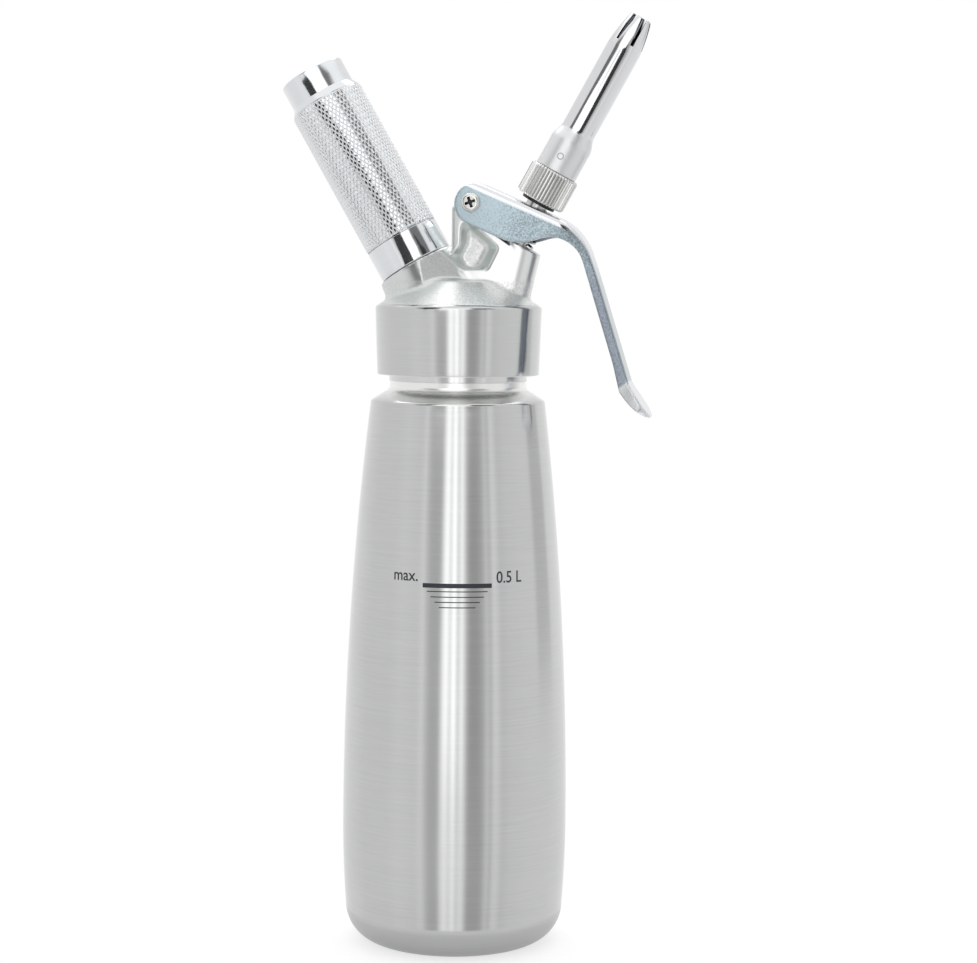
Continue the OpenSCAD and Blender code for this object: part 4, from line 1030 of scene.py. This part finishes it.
class DISPENSER_OT_fasteners(PieceOperator):
    """Pivot screw with its cross recess, and the nut behind it"""

    bl_idname = "dispenser.fasteners"
    bl_label = "Pivot Screw and Nut"

    def build(self, sizes, colors):
        finish = Finish("screw_steel", (0.78, 0.78, 0.76), 1.0, 0.24)
        cloud, recess = finish.noise(finish.place(), 900.0, 3.0), finish.attribute("deep")
        # Painted shade: the cross recess is coloured near black
        finish.set("Base Color", finish.mix(recess, (0.80, 0.79, 0.76), (0.05, 0.05, 0.055)))
        finish.set("Roughness", 0.18 + cloud * 0.12)
        finish.bump(cloud, 0.004)
        face = 9.15

        def on_pivot(points):
            """Points given with Z out of the near cheek, placed on the pivot's axis."""
            x, y, z = points.T
            return np.stack([PIVOT[0] + x, -face - z, PIVOT[1] + y], -1)

        head, faces = level_surface(screw_field, (-3.7, -3.7, -0.6), (3.7, 3.7, 2.7), 0.1)
        # Painted shade mask: the floor and sides of the cross recess
        deep = smooth_step((2.12 - head[:, 2]) / 0.25) * (np.hypot(head[:, 0], head[:, 1]) < 2.1)
        line = [[0, -21.3], [1.55, -21.3], [1.75, -21.1], [1.75, 0.1], [0, 0.1]]
        shank, shank_faces = lathe(line, 48)
        make_piece("pivot_screw", [(on_pivot(head), faces, 0), (on_pivot(shank), shank_faces, 0)],
                   [finish.material], "head", ["lever_screw"],
                   attributes={"deep": np.concatenate([deep, np.zeros(len(shank))])})
        a = np.linspace(0, 2 * math.pi, 192, endpoint=False)[None]
        flat = 3.5 / np.cos((a + math.pi / 6) % (math.pi / 3) - math.pi / 6)
        s = np.array([0, 0, 0.35, 2.65, 3.0, 3.0, 0])[:, None]
        limit = np.array([1.8, 3.55, 4.1, 4.1, 3.55, 1.8, 1.8])[:, None]
        r = np.where(limit < 2, limit, np.minimum(flat, limit))
        points = np.stack([PIVOT[0] + r * np.cos(a), face + s + 0 * a, PIVOT[1] + r * np.sin(a)], -1)
        make_piece("pivot_nut", [(points.reshape(-1, 3), grid_faces(7, 192, False, True), 0)],
                   [finish.material], "head", ["lever_nut"], sharp=20.0)


def screw_field(x, y, z):
    """A pan head with a cross recess whose arms taper in depth."""
    r = np.hypot(x, y)
    head = common(common(r - 3.2, z - 2.2, 1.15), -z, 0.15)
    turn = math.radians(20)
    a, b = x * math.cos(turn) + y * math.sin(turn), y * math.cos(turn) - x * math.sin(turn)
    depth = 2.35 - z
    arms = [np.maximum(np.abs(over) - 0.36 - 0.10 * (1.3 - depth),
                       np.abs(along) - 1.85 + 0.5 * np.maximum(depth - 0.2, 0))
            for over, along in ((b, a), (a, b))]
    return common(head, -np.maximum(joined(*arms, 0.2), 0.95 - z), 0.06)


class DISPENSER_OT_valve(PieceOperator):
    """The valve stem's collar, the spring under it and the seal under the adapter"""

    bl_idname = "dispenser.valve"
    bl_label = "Valve"

    def build(self, sizes, colors):
        metal = turned_metal("valve_steel", (0.72, 0.72, 0.70), 0.2, *VALVE, fine=2600.0)
        sleeve_s, under_s = COLLAR_S - 3.8, COLLAR_S - 1.8
        collar = rounded([(3.85, sleeve_s, 0.2), (4.9, sleeve_s, 0.2), (4.9, under_s, 0.1),
                          (7.0, under_s, 0.2), (7.0, COLLAR_S, 0.45), (3.85, COLLAR_S, 0.1)])
        turned_piece("collar_ring", collar, 128, metal, "stem", "stem_collar", VALVE)
        wire = turned_metal("spring_steel", (0.52, 0.53, 0.54), 0.25, *VALVE, lines=0.002)
        radius, wire_r, coils, foot_s = 5.7, 0.45, 4, BOSS_S + 0.1
        rise = under_s - 0.1 - foot_s - 2 * wire_r
        t = np.linspace(0, 1, 240)
        angle = 2 * math.pi * coils * t
        path = [radius * np.cos(angle), radius * np.sin(angle), foot_s + wire_r + rise * t]
        points, faces = tube(np.stack(path, -1), wire_r)
        spring = make_piece("spring_coil", [(leaning(points, *VALVE), faces, 0)], [wire], "head",
                            ["valve_spring"])
        foot = leaning([0, 0, foot_s], *VALVE) * MM
        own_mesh(spring)
        rubber = plain_soft("seal_rubber", (0.012, 0.012, 0.013), 0.45)
        low = ADAPTER_S - 1.15
        seal = rounded([(3.35, low, 0.2), (6.0, low, 0.35), (6.0, ADAPTER_S, 0.35),
                        (3.35, ADAPTER_S, 0.2)])
        turned_piece("adapter_washer", seal, 96, rubber, "adapter_seal",
                     "adapter_seal", VALVE)


class DISPENSER_OT_nozzle(PieceOperator):
    """Fluted adapter and the decorating tip on it"""

    bl_idname = "dispenser.nozzle"
    bl_label = "Nozzle"

    def build(self, sizes, colors):
        self.adapter(sizes.flutes, tuple(colors.nickel))
        self.tip()

    def adapter(self, count, color):
        finish = Finish("adapter_nickel", color, 1.0, 0.2)
        cloud = finish.noise(finish.place(*VALVE, (1, 1, 6)), 260.0, 3.0)
        finish.set("Roughness", 0.14 + cloud * 0.14)
        # Painted shade: the flutes' valleys are darker, 0.64 of the nickel
        finish.set("Base Color", finish.mix(finish.attribute("groove"), color, scaled(color, 0.64)))
        finish.bump(cloud, 0.004)
        radius, dip, mouth_r, low, high = 8.7, 0.55, 8.0, ADAPTER_S, ADAPTER_S + 11.4

        def flute(angle, s, r):
            """The radius dips between rounded ridges, as far as the chamfer reaches."""
            wave = (angle * count / (2 * math.pi)) % 1.0
            share = np.clip(1.15 - np.abs(wave - 0.5) / 0.3, 0, 1)
            return np.where(r > 7.9, np.minimum(r, radius - dip * share), r)

        profile = rounded([
            (3.4, low, 0.2), (mouth_r, low, 0.1), (radius, low + 0.7, 0.1), (radius, high - 0.7, 0.1),
            (mouth_r, high, 0.1), (6.1, high, 0.1), (6.1, STEM_TOP_S + 0.05, 0),
            (3.4, STEM_TOP_S + 0.05, 0)], 3)
        points, faces = lathe(profile, count * 12, True, flute)
        # Painted shade mask: the valleys between the flutes' ridges
        r, middle = np.hypot(points[:, 0], points[:, 1]), np.abs(points[:, 2] - ADAPTER_S - 5.7) < 5.2
        groove = smooth_step((8.55 - r) / 0.3) * (r > 8.05) * middle
        make_piece("adapter_shell", [(leaning(points, *VALVE), faces, 0)], [finish.material],
                   "adapter", ["nozzle_adapter"], attributes={"groove": groove})

    def tip(self):
        tube_line, nose_line = tip_lines()
        parts = [lathe(spread(tube_line, 1.2), 144, True)]
        parts += [petal(nose_line, math.radians(60 * k - 3)) for k in range(6)]
        points = np.concatenate([p for p, f in parts])
        satin = smooth_step((TIP_S + 16.5 - points[:, 2]) / 3)
        # Painted shade mask: the inner wall of the tube towards its slotted end
        t = np.clip((points[:, 2] - TIP_S - 47) / 12, 0, 1)
        depth = nose_radius(t) - 0.1 - np.hypot(points[:, 0], points[:, 1])
        inside = smooth_step(depth / 0.3) * (points[:, 2] > TIP_S + 17)
        parts = [(leaning(p, *VALVE), f, 0) for p, f in parts]
        make_piece("tip_shell", parts, [self.polished()], "tip", ["decorating_tip"],
                   attributes={"satin": satin, "inside": inside})

    def polished(self):
        """Polished steel, satin on the bulb, with a small ring marked on the bulb's near side and
        painted shade on the inner wall of the slotted end.
        """
        color = (0.80, 0.81, 0.82)
        finish = Finish("tip_steel", color, 1.0, 0.1)
        lines = finish.noise(finish.place(*VALVE, (40, 40, 2200)), 1.0, 2.0)
        cloud = finish.noise(finish.place(*VALVE), 160.0, 3.0)
        satin = finish.between(finish.attribute("satin"), 0.1, 0.4)
        finish.set("Roughness", satin + (cloud - 0.5) * 0.08)
        spot = tuple(leaning([0, -7.35, TIP_S + 5.5], *VALVE) * MM)
        away = finish.node("VectorMath", [finish.place(), spot], output="Value", operation="DISTANCE")
        ring = 1 - finish.between((away / MM - 1.0).math("ABSOLUTE"), 0.0, 1.0, 0.08, 0.3)
        # Painted shade: the inner wall is coloured dark grey
        tone = finish.mix(finish.attribute("inside"), color, (0.22, 0.23, 0.25))
        finish.set("Base Color", finish.mix(ring * 0.75, tone, (0.25, 0.26, 0.28)))
        finish.bump(lines * 0.3 - ring * 0.6, 0.01)
        return finish.material


# Where the tip's slots begin, and how thick its wall is
NOSE_S, TIP_WALL = 117.613, 0.8


def nose_radius(t):
    """The tip's outer radius from the foot of its narrowing end, at 0, to its mouth, at 1."""
    return 5.95 - 2.2 * t * (0.45 + 0.55 * t)


def tip_lines():
    """Profiles of the tip up to its slots, as one closed line, and of its slotted end, as
    (height, outer, inner)."""
    neck, tube_s, bulb_r = TIP_S + 10.4, TIP_S + 16.0, 7.35
    t = np.linspace(0, 1, 20)
    narrow = np.stack([bulb_r - 1.4 * smooth_step(t), neck + 5.6 * t], -1)
    t = np.linspace(0, 1, 25)
    nose = np.stack([nose_radius(t), tube_s + 31 + 12 * t], -1)
    below = nose[nose[:, 1] < NOSE_S - 0.2]
    at = np.array([[np.interp(NOSE_S, nose[:, 1], nose[:, 0]), NOSE_S]])
    line = np.concatenate([narrow, below, at])
    foot = rounded([(5.2, STEM_TOP_S + 0.3, 0), (6.0, STEM_TOP_S + 0.3, 0.2), (6.0, TIP_S + 0.05, 0),
                    (bulb_r, TIP_S + 0.05, 0.4), (bulb_r, neck, 0)], 5, False)
    inner = line - [TIP_WALL, 0]
    closed = np.concatenate([foot[:-1], line, inner[::-1], [[6.55, TIP_S + 1.6], [5.2, TIP_S + 0.8]]])
    end = np.concatenate([at, nose[nose[:, 1] > NOSE_S + 0.2]])
    return closed, np.stack([end[:, 1], end[:, 0], end[:, 0] - TIP_WALL], -1)


def petal(line, turn, narrow=0.5, wide=1.1, edge=0.13):
    """One finger of the tip's end: a loop with cut corners round the wall between two slots, carried
    up the axis. A slot's side lies h from the plane through the axis, so at a radius r it is
    asin(h / r) from the slot's middle, and h grows from narrow to wide along the petal."""
    line = np.concatenate([line[:-1], line[-1:] - [edge, 0, 0], line[-1:]])
    s, outer = line[:, 0], line[:, 1]
    shrink = np.zeros(len(s))
    shrink[-1] = edge
    across = np.concatenate([np.linspace(-1, 1, 15), [1, 1], np.linspace(1, -1, 15), [-1, -1]])
    low = TIP_WALL - edge
    depth = np.concatenate([np.zeros(15), [edge, low], np.full(15, TIP_WALL), [low, edge]])
    pull = np.tile(np.concatenate([[edge], np.zeros(13), [edge], [0, 0]]), 2)
    depth = depth[None] + shrink[:, None] * np.sign(TIP_WALL / 2 - depth[None])
    r = outer[:, None] - np.clip(depth, 0, TIP_WALL)
    opening = narrow + (wide - narrow) * (s - s[0]) / (s[-1] - s[0])
    half = math.pi / 6 - np.arcsin((opening[:, None] + pull[None] + shrink[:, None]) / r)
    angle = turn + math.pi / 6 + across[None] * half
    points = np.stack([r * np.cos(angle), r * np.sin(angle), s[:, None] + 0 * r], -1).reshape(-1, 3)
    loop = len(across)
    ring = np.arange(loop)
    fan = np.stack([ring[1:-1], ring[2:], 0 * ring[2:]], -1)
    return points, [grid_faces(len(s), loop, False, True), fan, fan + (len(s) - 1) * loop]


class DISPENSER_OT_mark(PieceOperator):
    """Printed fill mark: a thick bar, four thinner lines and plain words"""

    bl_idname = "dispenser.mark"
    bl_label = "Fill Mark"

    def build(self, sizes, colors):
        ink = plain_soft("mark_ink", tuple(colors.ink), 0.4, 2500.0, 0.004)
        bar_z = sizes.mark_height / MM
        bars = ((0, 1.5, 23.5), (1.95, 0.33, 20.6), (3.75, 0.33, 18.0), (5.5, 0.33, 15.2),
                (7.25, 0.33, 12.3))
        parts = [self.strip(bar_z - drop, thick, wide) for drop, thick, wide in bars]
        for word, left, rise in zip(sizes.mark_text.split(","), (-22.8, 13.3), (1.3, 0.85)):
            parts.append(self.word(word, left, bar_z + rise, 5.5))
        make_piece("fill_mark", parts, [ink], "bottle")

    def wrapped(self, across, z, lift):
        """Places on the bottle's wall: an arc length across it and a height, lifted off it."""
        r, middle = wall_radius(z), math.radians(-90 + 11.5)
        angle = middle + across / r
        return np.stack([(r + lift) * np.cos(angle), (r + lift) * np.sin(angle), z], -1)

    def strip(self, z, thick, wide):
        """A flat bar of ink bent round the wall."""
        columns = 49
        across = np.linspace(-wide / 2, wide / 2, columns)[:, None]
        heights = np.array([-0.5, -0.5, 0.5, 0.5])[None, :] * thick + z
        lift = np.array([-0.03, 0.02, 0.02, -0.03])[None, :]
        points = self.wrapped(*np.broadcast_arrays(across, heights, lift)).reshape(-1, 3)
        ends = np.arange(4) + np.array([[0], [4 * columns - 4]])
        return points, [grid_faces(columns, 4, False, True), ends], 0

    def word(self, text, left, low, size):
        """A word set in the plain built-in letters, with its flat mesh bent round the wall."""
        curve = bpy.data.curves.new("mark_word", "FONT")
        curve.body, curve.size, curve.resolution_u = text, size, 4
        curve.extrude, curve.offset = 0.02, 0.05
        holder = bpy.data.objects.new("mark_word", curve)
        bpy.context.scene.collection.objects.link(holder)
        bpy.context.view_layer.update()
        mesh = holder.evaluated_get(bpy.context.evaluated_depsgraph_get()).to_mesh()
        co = np.empty(len(mesh.vertices) * 3, np.float32)
        mesh.vertices.foreach_get("co", co)
        co = co.reshape(-1, 3).astype(float)
        mesh.calc_loop_triangles()
        triangles = np.empty(len(mesh.loop_triangles) * 3, np.int32)
        mesh.loop_triangles.foreach_get("vertices", triangles)
        bpy.data.objects.remove(holder)
        bpy.data.curves.remove(curve)
        points = self.wrapped(co[:, 0] * 0.9 + left, co[:, 1] + low, co[:, 2] * 1.5 - 0.005)
        return points, triangles.reshape(-1, 3), 0


class DISPENSER_OT_inner_finishes(PieceOperator):
    """Finishes of the CAD pieces inside the head and the holder"""

    bl_idname = "dispenser.inner_finishes"
    bl_label = "Inner Pieces"

    def build(self, sizes, colors):
        rubber = plain_soft("inner_rubber", (0.02, 0.02, 0.022), 0.5)
        silicone = plain_soft("pale_silicone", (0.62, 0.58, 0.50), 0.4)
        steel = turned_metal("inner_steel", (0.6, 0.6, 0.59), 0.22, *VALVE)
        pin = turned_metal("pin_steel", (0.5, 0.5, 0.52), 0.2, *INLET)
        for nodes, material in (
                (["pin_seal", "valve_seal", "stem_o_rings"], rubber),
                (["check_valve"], silicone),
                (["valve_stem", "retaining_ring", "pivot_bush"], steel),
                (["piercing_pin"], pin)):
            for node in nodes:
                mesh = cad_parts[node].data
                mesh.materials.clear()
                mesh.materials.append(material)


class DISPENSER_OT_stage(PieceOperator):
    """Camera, floor, light tent and soft world"""

    bl_idname = "dispenser.stage"
    bl_label = "Stage"

    def build(self, sizes, colors):
        self.camera()
        self.world()
        self.floor()
        self.tent()
        self.cards()
        bpy.context.scene.view_settings.view_transform = "Standard"

    def camera(self):
        """The view is turned by the azimuth and the yaw, pitched down and rolled a little."""
        camera = bpy.data.cameras.new("camera")
        camera.sensor_width = 36
        camera.lens = FOCAL_PX / PHOTO_W * 36
        camera.clip_start = 0.05
        turn = math.radians(CAMERA_AZIMUTH - CAMERA_YAW)
        pitch, roll = math.radians(90 - CAMERA_PITCH), math.radians(CAMERA_ROLL)
        matrix = (Matrix.Rotation(turn, 4, "Z") @ Matrix.Rotation(pitch, 4, "X")
                  @ Matrix.Rotation(roll, 4, "Z"))
        holder = bpy.data.objects.new("camera", camera)
        holder.matrix_world = Matrix.Translation(CAMERA_AT) @ matrix
        bpy.context.scene.collection.objects.link(holder)
        bpy.context.scene.camera = holder

    def world(self):
        world = bpy.data.worlds.new("studio")
        world.use_nodes = True
        back = world.node_tree.nodes["Background"]
        back.inputs["Color"].default_value = (1, 1, 1, 1)
        back.inputs["Strength"].default_value = 1.0
        bpy.context.scene.world = world

    def floor(self):
        """A small round table top that keeps the object's shadow and goes over into the white
        round it. Reflections see it duller than the camera does, and light passes by it as by
        plain pale cloth."""
        finish = Finish("table_white", (0.5, 0.5, 0.5), 0.0, 0.9)
        at = finish.node("VectorMath", [finish.place(), (1, 1, 0)], operation="MULTIPLY")
        away = finish.node("VectorMath", [at], output="Value", operation="LENGTH")
        far = finish.between(away, 0.0, 1.0, 0.042, 0.06)
        camera, glossy, through = (finish.node("LightPath", output=f"Is {kind} Ray")
                                   for kind in ("Camera", "Glossy", "Transmission"))
        seen = camera.math("ADD", glossy, clamp=True).math("ADD", through, clamp=True)
        diffuse = finish.node("BsdfDiffuse", {"Color": (0.42, 0.42, 0.42)})
        near = finish.node("AddShader", [diffuse, finish.emission(glossy * -0.34 + 0.66)])
        shown = finish.node("MixShader", [far, near, finish.emission(glossy * -0.22 + 1.0)])
        unseen = finish.node("BsdfDiffuse", {"Color": (0.85, 0.85, 0.85)})
        finish.surface(finish.node("MixShader", [seen, unseen, shown]))
        points, faces = lathe([[0, 0], [20, 0], [40, 0], [62, 0]], 96)
        self.stage_piece("table_top", points, faces, finish.material)

    def tent(self):
        """A light tent round the object, seen only in reflections. Low down, its light depends on
        the angle from the camera's side: a lamp with narrow lines in it, between dark gaps, which
        weakens below the horizon and leans outwards on its left. Higher up it has a wider lamp in
        front, soft dark gaps and two windows in the ceiling."""
        finish = Finish("tent_cloth", (0, 0, 0), 0.0, 1.0)
        ray = finish.node("VectorMath", [finish.place()], operation="NORMALIZE")
        x, y, z = (finish.node("SeparateXYZ", [ray], output=key) for key in "XYZ")
        turn = math.radians(CAMERA_AZIMUTH)
        side = x * math.cos(turn) + y * math.sin(turn)
        front = x * math.sin(turn) - y * math.cos(turn)
        angle = side.math("ARCTAN2", front) / math.radians(360) + 0.5

        def window(value, low, high, soft, share=1.0):
            """A share kept between two limits of a value, with soft edges."""
            share = finish.between(value, 0.0, 1.0, low - soft, low + soft) * share
            return finish.between(value, 1.0, 0.0, high - soft, high + soft) * share

        def panel(left, right, low, high, soft=2.5):
            """1 inside a patch of the tent, given by its angles round and up, and 0 outside it."""
            low, high = math.sin(math.radians(low)), math.sin(math.radians(high))
            share = window(angle, left / 360 + 0.5, right / 360 + 0.5, soft / 360)
            return window(z, low, high, soft / 60, share)

        # Degrees from the camera's side, and the strength of the light there. A ramp holds at most
        # 32 of them, so there are two ramps, both at half strength.
        stops = [(-180, 0.95), (-139, 0.88), (-122, 0.84), (-106, 0.8), (-74, 0.8), (-60, 0.84),
                 (-50, 0.82), (-41, 0.8), (-38, 0.84), (-35.5, 0.95), (-33, 0.84), (-30, 0.68),
                 (-26, 0.56), (-19, 0.54), (-16.5, 0.64), (-13.5, 1.3), (-10, 1.75), (-6, 0.95),
                 (-2, 2.0), (2, 0.75), (6, 1.6), (9, 0.95), (11.5, 0.6), (15, 0.42), (22, 0.43),
                 (28, 0.54), (33, 0.82), (36.5, 0.62), (41, 0.95), (45, 0.84), (49, 0.72),
                 (58, 0.78), (80, 0.82), (110, 0.84), (134, 0.9), (180, 0.95)]
        picks = [((a + 180) / 360, (v / 2,) * 3) for a, v in stops]
        left, right = picks[:18], picks[17:]
        outwards = finish.between(angle, 1.0, 0.0, 0.5 - 28 / 360, 0.5 - 18 / 360)
        around = angle + z.math("MAXIMUM", 0.0) * outwards * (15 / 360)
        first = finish.node("ValToRGB", [around], ramp=[left[0], right[1], *left[1:]])
        second = finish.node("ValToRGB", [around], ramp=[right[0], right[-1], *right[1:-1]])
        share = around.math("GREATER_THAN", right[0][0])
        wall = finish.node("RGBToBW", [finish.mix(share, first, second)]) * 2
        calm = wall.math("MINIMUM", wall * 0.4 + 0.5).math("MAXIMUM", 0.48)
        wall = wall + (calm - wall) * finish.between(z, 1.0, 0.0, -0.2, -0.04)
        wall = wall * (1 - panel(97, 122, -2, 30, 4) * 0.24)
        wall = wall * finish.between(z, 0.88, 1.0, -0.5, -0.26)
        upper = panel(-30, 17, 17, 43, 3) * 0.6 + 0.84
        upper = upper * (1 - panel(19, 52, 24, 50, 3) * 0.78) * (1 - panel(-60, -36, 22, 44) * 0.8)
        ceiling = 1.0
        for sideways in (-0.27, 0.27):
            near = side * sideways + front * -0.53 + z * 0.8
            ceiling = finish.between(near, 0.0, 2.0, 0.95, 0.985) + ceiling
        high, top = finish.between(z, 0.0, 1.0, 0.28, 0.36), finish.between(z, 0.0, 1.0, 0.70, 0.80)
        glow = wall * (1 - high) + upper * high
        finish.surface(finish.emission(glow * (1 - top) + ceiling * top))
        points, faces = lathe(arc((0, 0), 1600, -60, 90, 48), 128)
        tent = self.stage_piece("light_tent", points, faces, finish.material)
        tent.visible_camera = tent.visible_shadow = False

    def cards(self):
        """Dark and bright cards close to the holder, the nozzle, the skirt and the web, seen only
        in reflections. Their corners are given across the view, towards the camera, and up."""
        felt = plain_soft("flag_felt", (0.02, 0.02, 0.02), 0.9)
        lamps = []
        for name, strength in (("web_lamp", 1.6), ("nozzle_lamp", 1.3)):
            finish = Finish(name, (0, 0, 0), 0.0, 1.0)
            finish.surface(finish.emission(strength))
            lamps.append(finish.material)
        turn = math.radians(CAMERA_AZIMUTH)
        cosine, sine = math.cos(turn), math.sin(turn)
        for name, material, corners in (
                ("holder_flag", felt, [(-40, 50, 220), (-15, 50, 234), (-31, 50, 273),
                                       (-76, 50, 308), (-106, 50, 292), (-47, 50, 265)]),
                ("nozzle_flag", felt, self.upright(40, 82, 247, 315)),
                ("skirt_flag", felt, [(150, -4, 192), (150, -34, 192), (150, -34, 222),
                                      (150, -4, 222)]),
                ("web_lamp", lamps[0], self.upright(-55, -6, 222, 248)),
                ("nozzle_lamp", lamps[1], self.upright(-60, 10, 268, 335))):
            side, front, z = np.array(corners, float).T
            points = np.stack([side * cosine + front * sine, side * sine - front * cosine, z], -1)
            card = self.stage_piece(name, points, np.array([range(len(corners))]), material)
            card.visible_camera = card.visible_shadow = False
            card.visible_diffuse = card.visible_transmission = False

    def upright(self, left, right, low, high, front=120):
        """Corners of an upright card that faces the camera."""
        return [(left, front, low), (right, front, low), (right, front, high), (left, front, high)]

    def stage_piece(self, name, points, faces, material):
        mesh = bpy.data.meshes.new(name)
        mesh.from_pydata((points * MM).tolist(), [], faces.tolist())
        mesh.materials.append(material)
        piece = bpy.data.objects.new(name, mesh)
        bpy.context.scene.collection.objects.link(piece)
        return piece


PIECES = (
    DISPENSER_OT_stage, DISPENSER_OT_bottle, DISPENSER_OT_neck, DISPENSER_OT_head,
    DISPENSER_OT_inlet, DISPENSER_OT_holder, DISPENSER_OT_lever, DISPENSER_OT_fasteners,
    DISPENSER_OT_valve, DISPENSER_OT_nozzle, DISPENSER_OT_mark, DISPENSER_OT_inner_finishes)


class DISPENSER_PT_panel(bpy.types.Panel):
    """Lists the dispenser's sizes, colours and operators"""

    bl_label = "Dispenser"
    bl_idname = "DISPENSER_PT_panel"
    bl_space_type = "VIEW_3D"
    bl_region_type = "UI"
    bl_category = "Dispenser"

    def draw(self, context):
        for group in (context.scene.dispenser_sizes, context.scene.dispenser_colors):
            box = self.layout.box()
            for key in group.__annotations__:
                box.prop(group, key)
        for piece in PIECES:
            self.layout.operator(piece.bl_idname)


CLASSES = (DispenserSizes, DispenserColors, *PIECES, DISPENSER_PT_panel)


def register():
    for item in CLASSES:
        bpy.utils.register_class(item)
    bpy.types.Scene.dispenser_sizes = PointerProperty(type=DispenserSizes)
    bpy.types.Scene.dispenser_colors = PointerProperty(type=DispenserColors)


def unregister():
    del bpy.types.Scene.dispenser_sizes, bpy.types.Scene.dispenser_colors
    for item in reversed(CLASSES):
        bpy.utils.unregister_class(item)


def main():
    register()
    for piece in PIECES:
        group, name = piece.bl_idname.split(".")
        getattr(getattr(bpy.ops, group), name)()


if __name__ == "__main__":
    main()
